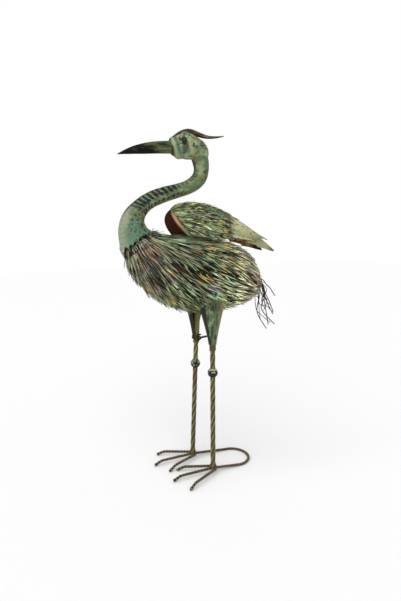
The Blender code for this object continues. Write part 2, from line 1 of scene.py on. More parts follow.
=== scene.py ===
# %% [markdown]
# # A garden heron in sheet metal
# The real bird is thin steel sheet, cut, folded and welded, then given a green patina and left
# outdoors. A frame holds its solid form: this file dresses that form in fringed feathers, patina
# and rust. It builds one piece after another, each with its own finish, and ends with the light
# and the camera. Lengths are metres, the bird looks along -X and its left side is at -Y.

import math
import random
from collections import namedtuple

import bmesh
import bpy
import numpy as np
from mathutils import Matrix, Vector


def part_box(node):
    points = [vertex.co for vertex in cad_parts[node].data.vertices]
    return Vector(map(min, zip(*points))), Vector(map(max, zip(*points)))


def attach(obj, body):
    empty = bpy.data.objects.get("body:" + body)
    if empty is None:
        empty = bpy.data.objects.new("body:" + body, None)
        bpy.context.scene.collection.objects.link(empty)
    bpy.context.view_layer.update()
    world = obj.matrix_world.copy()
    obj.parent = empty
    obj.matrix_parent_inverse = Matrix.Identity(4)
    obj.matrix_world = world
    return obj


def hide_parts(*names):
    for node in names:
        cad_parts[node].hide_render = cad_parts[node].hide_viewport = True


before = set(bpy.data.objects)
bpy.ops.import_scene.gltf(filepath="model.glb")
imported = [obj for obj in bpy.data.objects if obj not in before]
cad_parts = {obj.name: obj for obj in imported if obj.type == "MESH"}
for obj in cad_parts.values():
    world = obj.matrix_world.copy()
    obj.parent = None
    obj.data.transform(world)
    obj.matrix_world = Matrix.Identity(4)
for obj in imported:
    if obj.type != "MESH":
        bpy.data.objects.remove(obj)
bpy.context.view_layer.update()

# %% [markdown]
# ## Where the bird stands
# The bird is drawn with x = 0 midway between its ankles and heights measured from the ground.
# The frame's origin is under the middle of its box instead, so every finished piece is moved by
# the same amount. The two knee balls show how far.

# %% The bird's place in the frame
HIP_X = 0.006
HIP_HEIGHT = 0.500
ANKLE_RISE = 0.0145
LEG_SPREAD = 0.098
STEP = 0.021
SOCKET_HEIGHT = 0.361
BALL_DROP = 0.063
KNEE_HEIGHT = SOCKET_HEIGHT - BALL_DROP


def middle_of(node):
    """The middle of a frame piece's box."""
    low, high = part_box(node)
    return (Vector(low) + Vector(high)) / 2


ball_share = (KNEE_HEIGHT - ANKLE_RISE) / (HIP_HEIGHT - ANKLE_RISE)
balls_x = (middle_of("knee_ball_left").x + middle_of("knee_ball_right").x) / 2
bird_place = Vector((balls_x - HIP_X * ball_share, 0, 0))
hip = Vector((0, 0, HIP_HEIGHT))
print("bird moved by", round(bird_place.x, 5))

# %% [markdown]
# ## Curves and grids
# Most of the bird is sheet bent along smooth lines. One function runs a smooth curve through a
# few points, and one bends a flat grid into any shape by giving each corner its place. The grid
# keeps its flat layout as a UV map, which the finishes use later for bars and seams.

# %% Curves, grids and finished objects
WELD = 0.00002


def smooth_line(points, share):
    """The point at share 0 to 1 of a smooth curve through the given points."""
    reach = share * (len(points) - 1)
    index = min(int(reach), len(points) - 2)
    t = reach - index
    before = points[max(index - 1, 0)]
    after = points[min(index + 2, len(points) - 1)]
    mixed = []
    for a, b, c, d in zip(before, points[index], points[index + 1], after):
        bend = 2 * a - 5 * b + 4 * c - d
        turn = 3 * b - a - 3 * c + d
        mixed.append(b + 0.5 * t * (c - a + t * (bend + t * turn)))
    return mixed


def mapped_grid(rows, columns, place):
    """A grid bent so that each corner lies at place(row, column)."""
    bm = bmesh.new()
    layout = bm.loops.layers.uv.new("UVMap")
    bmesh.ops.create_grid(bm, x_segments=rows, y_segments=columns, size=0.5)
    for face in bm.faces:
        for loop in face.loops:
            loop[layout].uv = (loop.vert.co.x + 0.5, loop.vert.co.y + 0.5)
    for corner in bm.verts:
        row = round((corner.co.x + 0.5) * rows)
        column = round((corner.co.y + 0.5) * columns)
        corner.co = place(row, column)
    bmesh.ops.remove_doubles(bm, verts=bm.verts, dist=WELD)
    bmesh.ops.dissolve_degenerate(bm, edges=bm.edges, dist=WELD)
    return bm


def make_object(name, bm, finish, stands_for=(), sharp=40, closed=True):
    """Closes the shape, moves it into the frame and makes it a piece of the bird."""
    if closed:
        bmesh.ops.holes_fill(bm, edges=bm.edges, sides=0)
        bmesh.ops.recalc_face_normals(bm, faces=bm.faces)
    bmesh.ops.translate(bm, verts=bm.verts, vec=bird_place)
    mesh = bpy.data.meshes.new(name)
    bm.to_mesh(mesh)
    bm.free()
    mesh.materials.append(finish)
    mesh.shade_smooth()
    mesh.set_sharp_from_angle(angle=math.radians(sharp))
    piece = bpy.data.objects.new(name, mesh)
    bpy.context.scene.collection.objects.link(piece)
    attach(piece, "root")
    if stands_for:
        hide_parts(*stands_for)
    print(name, len(mesh.polygons), "faces")
    return piece


# %% [markdown]
# ## Painting with numbers
# A finish is a small network of shader nodes. To keep it readable, a shader value is wrapped so
# that it can be added and multiplied like a number, and so that a mask can mix two colours.

# %% Shader values that read like numbers
class Wire:
    """A value or colour in a finish."""

    def __init__(self, tree, socket):
        self.tree = tree
        self.socket = socket

    def node(self, kind, settings, inputs, output=0):
        """Adds any node to the same finish: its settings first, then its inputs."""
        return add_node(self.tree, kind, settings, inputs, output)

    def combine(self, operation, first, second):
        """Adds a maths node, for colours when either side is one."""
        coloured = any(isinstance(v, Wire) and v.socket.type != "VALUE" for v in (first, second))
        if not coloured:
            return self.node("ShaderNodeMath", {"operation": operation}, {0: first, 1: second})
        sides = [(v, v, v) if isinstance(v, (int, float)) else v for v in (first, second)]
        return self.node("ShaderNodeVectorMath", {"operation": operation}, dict(enumerate(sides)))

    def __add__(self, other):
        return self.combine("ADD", self, other)

    def __sub__(self, other):
        return self.combine("SUBTRACT", self, other)

    def __rsub__(self, other):
        return self.combine("SUBTRACT", other, self)

    def __mul__(self, other):
        return self.combine("MULTIPLY", self, other)

    def __truediv__(self, other):
        return self.combine("DIVIDE", self, other)

    __radd__ = __add__
    __rmul__ = __mul__

    def power(self, other):
        """The value to a power."""
        return self.combine("POWER", self, other)

    def fraction(self):
        """What the value has after the point."""
        return self.node("ShaderNodeMath", {"operation": "FRACT"}, {0: self})

    def size(self):
        """The value without its sign."""
        return self.node("ShaderNodeMath", {"operation": "ABSOLUTE"}, {0: self})

    def wave(self):
        """A sine wave of the value."""
        return self.node("ShaderNodeMath", {"operation": "SINE"}, {0: self})

    def step(self, low, high):
        """Rises smoothly from 0 at low to 1 at high. low may be the larger one."""
        settings = {"interpolation_type": "SMOOTHSTEP"}
        if low > high:
            return 1 - self.step(high, low)
        inputs = {"Value": self, "From Min": low, "From Max": high}
        return self.node("ShaderNodeMapRange", settings, inputs)

    def mix(self, first, second):
        """The first colour where this mask is 0 and the second where it is 1."""
        sides = [(*v, 1) if isinstance(v, tuple) else v for v in (first, second)]
        inputs = {0: self, 6: sides[0], 7: sides[1]}
        return self.node("ShaderNodeMix", {"data_type": "RGBA"}, inputs, 2)

    def noise(self, scale, seed, detail=2.0):
        """Soft noise read at this place, about 0.3 to 0.7."""
        inputs = {"Vector": self, "W": seed, "Scale": scale, "Detail": detail}
        return self.node("ShaderNodeTexNoise", {"noise_dimensions": "4D"}, inputs)

    def parts(self):
        """The x, y and z of a place."""
        return [self.node("ShaderNodeSeparateXYZ", {}, {0: self}, axis) for axis in range(3)]


def add_node(tree, kind, settings, inputs, output=0):
    """One shader node with its settings and inputs. Gives the chosen output."""
    node = tree.nodes.new(kind)
    for name, value in settings.items():
        setattr(node, name, value)
    for name, value in inputs.items():
        if isinstance(value, Wire):
            tree.links.new(value.socket, node.inputs[name])
        else:
            node.inputs[name].default_value = value
    return Wire(tree, node.outputs[output])


class Finish:
    """A painted metal surface, with the places and layout its patterns are read from."""

    def __init__(self, name, roughness, shine=0.2):
        self.material = bpy.data.materials.new(name)
        self.material.use_nodes = True
        self.tree = self.material.node_tree
        self.shader = self.tree.nodes["Principled BSDF"]
        self.shader.inputs["Roughness"].default_value = roughness
        self.shader.inputs["Metallic"].default_value = 0.0
        self.shader.inputs["Specular IOR Level"].default_value = shine
        self.place = add_node(self.tree, "ShaderNodeTexCoord", {}, {}, "Object")
        self.layout = add_node(self.tree, "ShaderNodeTexCoord", {}, {}, "UV")

    def feed(self, name, value):
        """Links a varying value to one input of the surface."""
        self.tree.links.new(value.socket, self.shader.inputs[name])

    def bumps(self, height, distance):
        """Small relief from a height pattern."""
        inputs = {"Height": height, "Distance": distance, "Strength": 1.0}
        self.feed("Normal", add_node(self.tree, "ShaderNodeBump", {}, inputs))

    def patches(self, ground, layers, scatter=None):
        """Patina: each layer is a colour, the size of its patches, a seed and where it starts.

        scatter, a random value from 0 to 1, frays the patches' edges sliver by sliver.
        """
        colour = ground
        for shade, size, seed, low, high in layers:
            cover = self.place.noise(1 / size, seed)
            if scatter:
                cover = cover + (scattered(scatter, seed) - 0.5) * 0.30
            colour = cover.step(low, high).mix(colour, shade)
        return colour

    def streaks(self, scale, seed, detail=2.0):
        """Noise drawn out along the axis where its scale is small."""
        inputs = {"Vector": self.place, "Scale": scale}
        return add_node(self.tree, "ShaderNodeMapping", {}, inputs).noise(1.0, seed, detail)

    def spot(self, x, z, wide, high, seed=0.0):
        """A soft-edged round mask on both flanks, around a place in the side view."""
        across, _, up = self.place.parts()
        ragged = (self.place.noise(160, seed) - 0.5) * 0.8
        far = ((across - (x + bird_place.x)) / wide).power(2) + ((up - z) / high).power(2)
        return (far + ragged).step(1.25, 0.75)


# %% [markdown]
# ## Patina colours
# Weathered copper green runs from pale grey green to teal. Olive and ochre show where the green
# has worn and rust where water stays. Near black is soot and oil in the gaps, and also painted
# shade in creases, hollows and on undersides.

# %% Colours of the patina
OLIVE = (0.155, 0.165, 0.060)
PALE_GREEN = (0.265, 0.325, 0.180)
LEAF_GREEN = (0.120, 0.180, 0.085)
TEAL = (0.100, 0.205, 0.125)
OCHRE = (0.270, 0.195, 0.055)
RUST = (0.270, 0.110, 0.045)
# Near black: soot and oil, and also painted shade in gaps, hollows and on undersides.
DARK_BROWN = (0.030, 0.018, 0.011)
SOOT_AND_SHADE = (0.006, 0.007, 0.005)
GREY_LILAC = (0.130, 0.110, 0.115)
# Bone: the palest slivers, and the painted highlight on the slivers' creases.
BONE_AND_HIGHLIGHT = (0.400, 0.410, 0.290)


# %% [markdown]
# ## The feathered body
# The real body is a hull of sheet under rows of fringe: strips of thin metal cut into narrow
# pointed slivers, each creased along its middle. Here the hull is a smooth egg shape, and each
# sliver is a copy of one tiny creased grid, laid on the hull along the way the feathers flow. A
# separate small mesh per sliver gives true gaps and true shadows, which a picture could not.

# %% The body's form
BODY_SECTIONS = [
    (-0.1470, 0.1820, -0.2170, 0.1330, 0.0370),
    (-0.1270, 0.1770, -0.2120, 0.1020, 0.0490),
    (-0.0970, 0.1720, -0.1960, 0.0720, 0.0600),
    (-0.0550, 0.1690, -0.1660, 0.0320, 0.0710),
    (-0.0080, 0.1650, -0.1200, -0.0040, 0.0790),
    (0.0420, 0.1580, -0.0600, -0.0300, 0.0830),
    (0.0850, 0.1470, 0.0080, -0.0360, 0.0800),
    (0.1200, 0.1290, 0.0720, -0.0320, 0.0700),
    (0.1440, 0.1040, 0.1220, -0.0220, 0.0530),
    (0.1640, 0.0760, 0.1580, -0.0050, 0.0340),
    (0.1790, 0.0480, 0.1820, 0.0200, 0.0130),
]
BODY_SQUARENESS = 2.6
HULL_DEPTH = 0.0070     # how far the smooth hull lies under the skin
HULL_START = -0.09      # how far the hull reaches into the neck, as a share of the body's length
ROOT_DEPTH = 0.0055     # how far the feathers' roots lie under the skin


def body_section(share):
    """Centre, half height as a vector and half width of the body at a share of its length."""
    top_x, top_z, low_x, low_z, half_width = smooth_line(BODY_SECTIONS, share)
    top = hip + Vector((top_x, 0, top_z))
    low = hip + Vector((low_x, 0, low_z))
    return (top + low) / 2, (top - low) / 2, half_width


def body_point(share, angle, rise):
    """A point over the body's skin. The angle is 0 along the back, half a turn at the belly."""
    over = min(max(share - 1, 0), 0.03) * 0.4
    centre, half_height, half_width = body_section(min(share, 1))
    power = 2 / BODY_SQUARENESS
    up = math.copysign(abs(math.cos(angle)) ** power, math.cos(angle))
    side = math.copysign(abs(math.sin(angle)) ** power, math.sin(angle))
    height = half_height.length + rise
    skin = centre + half_height.normalized() * height * up
    return skin + Vector((over, (half_width + rise) * side, 0))


def body_hull(finish):
    """The smooth hull under the feathers."""
    rows, columns = 40, 56

    def place(row, column):
        share = HULL_START + (1 - HULL_START) * min(max((row - 1) / (rows - 2), 0), 1)
        if row in (0, rows):
            return body_section(share)[0]
        return body_point(share, 2 * math.pi * column / columns, -HULL_DEPTH)

    bm = mapped_grid(rows, columns, place)
    return make_object("hull_under_feathers", bm, finish, ["body"])


# %% Slivers of sheet
SLIVER_STEPS = 5
SLIVER_CREASE = 0.45    # height of the crease along the middle, as a share of the half width
SLIVER_TIP = 0.0001
TINY = 0.01
LONGEST_RUN = 3.6       # most share of the surface that a sliver runs along, per metre of length
Sliver = namedtuple("Sliver", "share angle length half_width turn lift stiffness tone")


def sliver_cloud(name, places, surface, finish, steps=SLIVER_STEPS):
    """Lays one creased sliver of sheet at each place."""
    bm = bmesh.new()
    layout = bm.loops.layers.uv.new("UVMap")
    bmesh.ops.create_grid(bm, x_segments=2, y_segments=steps, size=0.5)
    for face in bm.faces:
        for loop in face.loops:
            loop[layout].uv = (loop.vert.co.x + 0.5, loop.vert.co.y + 0.5)
    pattern = bpy.data.meshes.new("one sliver")
    bm.to_mesh(pattern)
    corners = [(v.co.x * 2, v.co.y + 0.5) for v in pattern.vertices]
    bm.clear()
    for _ in places:
        bm.from_mesh(pattern)
    piece = make_object(name, bm, finish, closed=False)
    shape = []
    tones = []
    for sliver in places:
        shape += bent_sliver(sliver, surface, corners, steps)
        tones += [sliver.tone] * len(corners)
    piece.data.vertices.foreach_set("co", np.array(shape).ravel())
    piece.data.attributes.new("tone", "FLOAT", "POINT").data.foreach_set("value", tones)
    piece.data.update()
    piece.data.set_sharp_from_angle(angle=math.radians(25))
    return piece


def bent_sliver(sliver, surface, corners, steps):
    """Corner places of one sliver, bent along the surface and creased along its middle."""
    share, angle, length, half_width, turn, lift, stiffness, _ = sliver
    root = surface(share, angle, 0)
    along = (surface(share + TINY, angle, 0) - root) / TINY
    around = (surface(share, angle + TINY, 0) - root) / TINY
    normal = (surface(share, angle, 0.01) - root).normalized()
    wish = along.normalized() + Vector((0, 0, -turn))
    square = along.dot(along) * around.dot(around) - along.dot(around) ** 2
    move_a = (wish.dot(along) * around.dot(around) - wish.dot(around) * along.dot(around)) / square
    move_b = (wish.dot(around) * along.dot(along) - wish.dot(along) * along.dot(around)) / square
    ahead = along * move_a + around * move_b
    scale = min(length / ahead.length, LONGEST_RUN * length / max(abs(move_a), TINY))
    ahead.normalize()
    across = ahead.cross(normal).normalized()
    line = []
    for step in range(steps + 1):
        t = step / steps
        bent = surface(share + move_a * scale * t, angle + move_b * scale * t, 0.0004)
        straight = root + ahead * length * t
        if (bent - root).length > 1.3 * length * t + 0.002:
            bent = straight
        line.append(bent.lerp(straight, stiffness * t) + normal * lift * t ** 1.3)
    placed = []
    for side, t in corners:
        width = half_width * (1 - t ** 2.2) * (0.75 + 0.25 * min(1, 4 * t)) + SLIVER_TIP
        crease = normal * half_width * SLIVER_CREASE * (1 - abs(side))
        placed.append(line[round(t * steps)] + across * side * width + crease + bird_place)
    return placed


# %% The finish of the feathers
def scattered(tone, seed):
    """Another random value of each sliver."""
    return (tone * (seed + 11.3)).fraction()


def feather_finish(name, layers, shadow=1.0, painted_light_gain=1.0, body=False):
    """Patina in patches, a tone of its own on each sliver, painted shade at the slivers' edges and
    roots, and a painted highlight on some creases.
    """
    finish = Finish(name, roughness=0.55)
    tone = add_node(finish.tree, "ShaderNodeAttribute", {"attribute_name": "tone"}, {}, "Fac")
    across, along, _ = finish.layout.parts()
    crease = (across - 0.5).size()
    colour = finish.patches(OLIVE, layers, scatter=tone)
    if body:
        x, _, up = finish.place.parts()
        x = x - bird_place.x
        chest = finish.patches((0.085, 0.066, 0.044), [
            ((0.340, 0.170, 0.110), 0.020, 14.0, 0.55, 0.65),
        ((0.200, 0.170, 0.175), 0.025, 15.0, 0.54, 0.64),
        (SOOT_AND_SHADE, 0.028, 16.0, 0.50, 0.58),
        ], scatter=tone)
        front = x.step(-0.105, -0.165)
        colour = (front * 0.8).mix(colour, chest)
        shadow = (0.9 - front * 0.4) * (1 - finish.spot(-0.175, 0.645, 0.060, 0.060, 7.0) * 0.85)
        # Towards the rear the colour turns pale ochre, partly wear and partly painted light, and is
        # brightened up to two and a half times: painted light.
        wear_and_painted_light = (0.285, 0.225, 0.160)
        colour = (x.step(0.00, 0.13) * 0.55).mix(colour, wear_and_painted_light) * (x.step(-0.04, 0.10) * 1.5 + 1)
        # Darker towards the belly: painted shade under the body.
        colour = colour * (up.step(0.44, 0.56) * 0.45 + 0.65)
        bare = finish.spot(0.125, 0.565, 0.030, 0.022, 6.0) * scattered(tone, 5.3)
        colour = (bare * 0.8).mix(colour, (0.50, 0.27, 0.17))
        colour = (finish.spot(0.172, 0.520, 0.022, 0.050, 5.0) * 0.6).mix(colour, DARK_BROWN)
    # The gain brightens the whole colour: painted light, raised on the wings.
    colour = colour * ((scattered(tone, 6.4).power(1.6) * 3.0 + 0.45) * painted_light_gain)
    colour = (tone.step(0.82, 0.88) * 0.9).mix(colour, BONE_AND_HIGHLIGHT)
    colour = (tone.step(0.30, 0.20) * 0.95).mix(colour, SOOT_AND_SHADE)
    # A pale line on the crease of some slivers: painted highlight.
    colour = (crease.step(0.14, 0.02) * tone.step(0.45, 0.55) * 0.8).mix(colour, BONE_AND_HIGHLIGHT)
    # Dark along the slivers' edges and at their roots: painted shade between and under the slivers.
    edge = crease.step(0.30, 0.48) * 0.85
    root = along.step(0.60, 0.05) * 0.9 * shadow
    colour = edge.mix(colour, SOOT_AND_SHADE)
    colour = root.mix(colour, SOOT_AND_SHADE)
    finish.feed("Base Color", colour)
    return finish.material


body_feathers_finish = feather_finish("body feathers", [
    (PALE_GREEN, 0.055, 1.0, 0.50, 0.62),
    (TEAL, 0.050, 2.0, 0.56, 0.64),
    (LEAF_GREEN, 0.040, 6.0, 0.54, 0.64),
    (OCHRE, 0.045, 4.0, 0.60, 0.70),
    (RUST, 0.040, 8.0, 0.68, 0.78),
    (GREY_LILAC, 0.060, 10.0, 0.66, 0.76),
    (SOOT_AND_SHADE, 0.016, 12.0, 0.58, 0.66),
], body=True)
hull_finish = Finish("hull in shadow", roughness=0.8)
hull_finish.shader.inputs["Base Color"].default_value = (*SOOT_AND_SHADE, 1)

# %% The body's feathers
BODY_ROWS = 44
ROWS_START = -0.08      # where the first row has its roots, as a share of the body's length
ROWS_REACH = 1.03       # how far the rows run from there
SLIVER_GAP = 0.0045
LENGTHS = (0.034, 0.062)
HALF_WIDTHS = (0.0012, 0.0026)
BARB_HALF_WIDTH = 0.0034
BARB_LIFT = 0.0100
BARB_STIFFNESS = 0.75
BARB_TONE = 0.28        # dark


def over_body(share, angle, rise):
    """A place over the feathers' roots on the body."""
    return body_point(share, angle, rise - ROOT_DEPTH)


def body_places(rng, first, last):
    """Places of the slivers, row after row from the neck's hem to the rump.

    Neighbours often share a tone, and a few broad dark barbs stand off the belly.
    """
    places = []
    for row in range(first, last):
        share = ROWS_START + ROWS_REACH * row / (BODY_ROWS - 1)
        _, half_height, half_width = body_section(min(share, 1))
        count = max(12, round(math.pi * (half_height.length + half_width) / SLIVER_GAP))
        tone = 0.0
        for order in range(count):
            angle = 2 * math.pi * (order + 0.5 * (row % 2) + rng.uniform(-0.4, 0.4)) / count
            start = share + rng.uniform(-0.012, 0.012)
            belly = max(0, -math.cos(angle)) * min(1, 4 * max(0, 0.75 - share))
            length = rng.uniform(*LENGTHS) * (1 - 0.60 * max(0, share - 0.75) / 0.2)
            turn = 0.40 * abs(math.sin(angle)) * math.sin(math.pi * min(1, share + 0.12)) ** 0.8
            turn += 0.6 * max(0, 0.30 - share) + rng.uniform(-0.22, 0.22)
            lift = 0.0030 + 0.0075 * rng.random() ** 3
            stiffness = rng.uniform(0.10, 0.35) + 0.30 * belly * rng.random()
            if rng.random() < 0.5:
                tone = rng.random()
            half_width = rng.uniform(*HALF_WIDTHS)
            if belly > 0.15 and rng.random() < 0.07:
                length *= 0.8
                half_width, lift, stiffness = BARB_HALF_WIDTH, BARB_LIFT, BARB_STIFFNESS
                tone = BARB_TONE
            places.append(Sliver(start, angle, length, half_width, turn, lift, stiffness, tone))
    return places


body_hull(hull_finish.material)
rng = random.Random(7)
half_way = BODY_ROWS // 2
front_half = body_places(rng, 0, half_way)
rear_half = body_places(rng, half_way, BODY_ROWS)
sliver_cloud("feathers_front", front_half, over_body, body_feathers_finish)
sliver_cloud("feathers_rear", rear_half, over_body, body_feathers_finish)

# %% [markdown]
# ## The neck
# A tube of thin sheet, bent into an S and welded along the front. Its lower hem is cut into
# points that lie over the first feathers. Cross bars and dots are brushed on in dark paint. They
# follow the sheet, so they're read from the layout: one number runs along the neck, one round it.

# %% The neck's form
NECK_LINE = [
    (-0.1840, 0.1580, 0.0450, 0.0400),
    (-0.1915, 0.1760, 0.0395, 0.0360),
    (-0.1940, 0.1920, 0.0350, 0.0325),
    (-0.1925, 0.2080, 0.0305, 0.0290),
    (-0.1860, 0.2230, 0.0262, 0.0255),
    (-0.1740, 0.2380, 0.0225, 0.0225),
    (-0.1560, 0.2530, 0.0205, 0.0210),
    (-0.1320, 0.2655, 0.0200, 0.0205),
    (-0.1020, 0.2760, 0.0190, 0.0195),
    (-0.0720, 0.2845, 0.0178, 0.0188),
    (-0.0450, 0.2935, 0.0178, 0.0185),
    (-0.0230, 0.3060, 0.0190, 0.0185),
    (-0.0090, 0.3220, 0.0198, 0.0185),
    (-0.0045, 0.3400, 0.0200, 0.0185),
    (-0.0060, 0.3580, 0.0218, 0.0190),
    (-0.0110, 0.3760, 0.0230, 0.0195),
]
HEM_DEPTH = 0.025
HEM_FLARE = 0.0040
HEM_RISE = 0.040        # how far up the hem is cut on each flank, as a share of the neck


def neck_frame(share):
    """Centre, direction across the neck in the side view, its own direction and half sizes."""
    x, z, radius, half_width = smooth_line(NECK_LINE, share)
    ahead = smooth_line(NECK_LINE, min(share + 0.01, 1))
    behind = smooth_line(NECK_LINE, max(share - 0.01, 0))
    tangent = Vector((ahead[0] - behind[0], 0, ahead[1] - behind[1])).normalized()
    across = Vector((tangent.z, 0, -tangent.x))
    return hip + Vector((x, 0, z)), across, tangent, radius, half_width


def neck_piece(finish):
    """The neck with its pointed hem. Angle 0 is the nape, half a turn is the throat."""
    rows, columns, inside = 130, 120, 3
    rng = random.Random(3)
    depths = [rng.uniform(0.25, 1.0) for _ in range(columns // 6)]

    def ring(share, column, grow=0.0):
        mid, side, _, radius, half_width = neck_frame(share)
        angle = 2 * math.pi * column / columns
        across = Vector((0, (half_width + grow) * math.sin(angle), 0))
        return mid + side * (radius + grow) * math.cos(angle) + across

    def place(row, column):
        tooth = depths[(column // 6) % len(depths)] * (1 - abs(column % 6 - 3) / 3)
        turn = column / columns
        throat = math.exp(-((turn - 0.5) / 0.05) ** 2)
        flank = math.exp(-((abs(turn - 0.5) - 0.30) / 0.12) ** 2)
        depth = HEM_DEPTH * (tooth * (0.6 + 0.4 * throat) + 0.8 * throat - 0.2)
        start = HEM_RISE * flank
        tangent = neck_frame(start)[2]
        if row < inside:
            inner = HEM_FLARE - 0.0008 * (inside - row)
            return ring(start, column, inner) - tangent * depth * (row + 1) / (inside + 1)
        if row == inside:
            return ring(start, column, HEM_FLARE) - tangent * depth
        share = start + (1 - start) * (row - inside - 1) / (rows - inside - 1)
        settle = HEM_FLARE * 0.7 * math.exp(-(share - start) * 40)
        return ring(share, column, settle)

    bm = mapped_grid(rows, columns, place)
    return make_object("dressed_neck", bm, finish, ["neck"], sharp=50)


# %% The neck's finish
BAR_SPACING = 0.029     # between the painted bars, as a share of the neck's length


def neck_finish():
    """Pale green with brushed bars and dots."""
    finish = Finish("neck patina", roughness=0.5)
    along, around, _ = finish.layout.parts()
    colour = finish.patches(LEAF_GREEN, [
        (PALE_GREEN, 0.030, 21.0, 0.50, 0.66),
        (TEAL, 0.035, 22.0, 0.52, 0.62),
        (OCHRE, 0.020, 23.0, 0.58, 0.70),
        (PALE_GREEN, 0.008, 24.0, 0.55, 0.70),
    ])
    from_throat = (around - 0.5).size()
    jitter = finish.place.noise(90, 5.0) - 0.5
    grime = finish.place.noise(60, 25.0, 4.0).step(0.52, 0.66)
    colour = (grime * 0.7).mix(colour * 0.9, DARK_BROWN)
    colour = (along.step(0.20, 0.05) * 0.8).mix(colour, TEAL)
    # Paler at the throat low on the neck: painted highlight.
    breast = along.step(0.40, 0.22) * from_throat.step(0.17, 0.07)
    colour = (breast * 0.8).mix(colour, (0.29, 0.31, 0.225))
    nape = from_throat.step(0.34, 0.42) * along.step(0.25, 0.32) * along.step(0.75, 0.6)
    colour = (nape * 0.7).mix(colour, OCHRE)
    bars = (along * (2 * math.pi / BAR_SPACING) + jitter * 6 + from_throat * 5).wave()
    stretch = along.step(0.29, 0.34) * along.step(0.66, 0.58)
    reach = from_throat + jitter * 0.10 + along.step(0.50, 0.66) * 0.06
    upper = reach.step(0.27, 0.23)
    lower = reach.step(0.305, 0.325) * reach.step(0.385, 0.355)
    colour = (stretch * bars.step(-0.7, -0.2) * upper * 0.95).mix(colour, SOOT_AND_SHADE)
    colour = (stretch * bars.step(-0.6, -0.1) * lower * 0.95).mix(colour, SOOT_AND_SHADE)
    blots = stretch * finish.place.noise(95, 26.0).step(0.55, 0.62) * from_throat.step(0.12, 0.2)
    colour = (blots * 0.8).mix(colour, SOOT_AND_SHADE)
    trail = along.step(0.60, 0.66) * along.step(0.90, 0.84) * (reach - 0.17).size().step(0.05, 0.02)
    colour = (trail * bars.step(0.1, 0.6) * 0.85).mix(colour, SOOT_AND_SHADE)
    flecks = finish.place.noise(150, 9.0, 1.0).step(0.57, 0.63) * from_throat.step(0.14, 0.2)
    colour = (along.step(0.36, 0.30) * flecks * 0.85).mix(colour, SOOT_AND_SHADE)
    faint = along.step(0.33, 0.27) * from_throat.step(0.22, 0.16) * bars.step(0.55, 0.95)
    colour = (faint * 0.40).mix(colour, OLIVE)
    # Dark lines along the throat and the nape: the weld seam, and painted shade along the neck's edges.
    seam_and_edge_shade = from_throat.step(0.085, 0.030) * along.step(0.2, 0.3) + from_throat.step(0.430, 0.47)
    colour = (seam_and_edge_shade * 0.85).mix(colour, DARK_BROWN)
    hem = along.step(0.032, 0.020) * finish.place.noise(200, 2.0).step(0.40, 0.56)
    colour = (hem * 0.8).mix(colour, DARK_BROWN)
    finish.feed("Base Color", colour)
    finish.bumps(finish.place.noise(220, 1.0, 3.0), 0.0006)
    return finish.material


neck_piece(neck_finish())

# %% [markdown]
# ## Head, eyes, beak and crest
# The head is two dished halves with a rolled rim round the beak. The beak is a folded cone with a
# keel on top, and the crest a strip folded along its middle, welded on over the brow and crown.

# %% The head
HEAD_LINE = [
    (-0.0950, 0.3925, 0.0040, 0.0040),
    (-0.0880, 0.3932, 0.0190, 0.0150),
    (-0.0790, 0.3938, 0.0248, 0.0195),
    (-0.0660, 0.3955, 0.0310, 0.0230),
    (-0.0500, 0.3980, 0.0345, 0.0252),
    (-0.0330, 0.3960, 0.0320, 0.0255),
    (-0.0160, 0.3910, 0.0285, 0.0243),
    (-0.0010, 0.3865, 0.0245, 0.0215),
    (0.0090, 0.3820, 0.0165, 0.0160),
    (0.0140, 0.3780, 0.0040, 0.0040),
]
EYE_RADIUS = 0.0058
EYE_SHARE = 0.31
EYE_ANGLE = math.radians(58)
RIM_TOP = 0.11          # place of the rim along the head, at the brow
RIM_SWEEP = 0.20        # how much further back it lies at the chin


def head_point(share, angle, clearance=0.0):
    """A point of the head's skin, front to nape. The angle is 0 at the crown."""
    x, z, half_height, half_width = smooth_line(HEAD_LINE, share)
    side = (half_width + clearance) * math.sin(angle)
    up = (half_height + clearance) * math.cos(angle)
    return hip + Vector((x + clearance * (2 * share - 1), side, z + up))


def head_piece(finish):
    """The head with its rolled rim and a shallow groove behind it."""
    rows, columns = 56, 64

    def place(row, column):
        share = row / rows
        angle = 2 * math.pi * column / columns
        if row in (0, rows):
            return (head_point(share, 0) + head_point(share, math.pi)) / 2
        low = 0.5 - 0.5 * math.cos(angle)
        back = RIM_TOP + RIM_SWEEP * low ** 2
        rim = 0.0020 * math.exp(-((share - back) / 0.040) ** 2)
        groove = -0.0014 * math.exp(-((share - back - 0.09) / 0.035) ** 2)
        return head_point(share, angle, rim + groove)

    bm = mapped_grid(rows, columns, place)
    return make_object("dressed_head", bm, finish, ["head"], sharp=60)


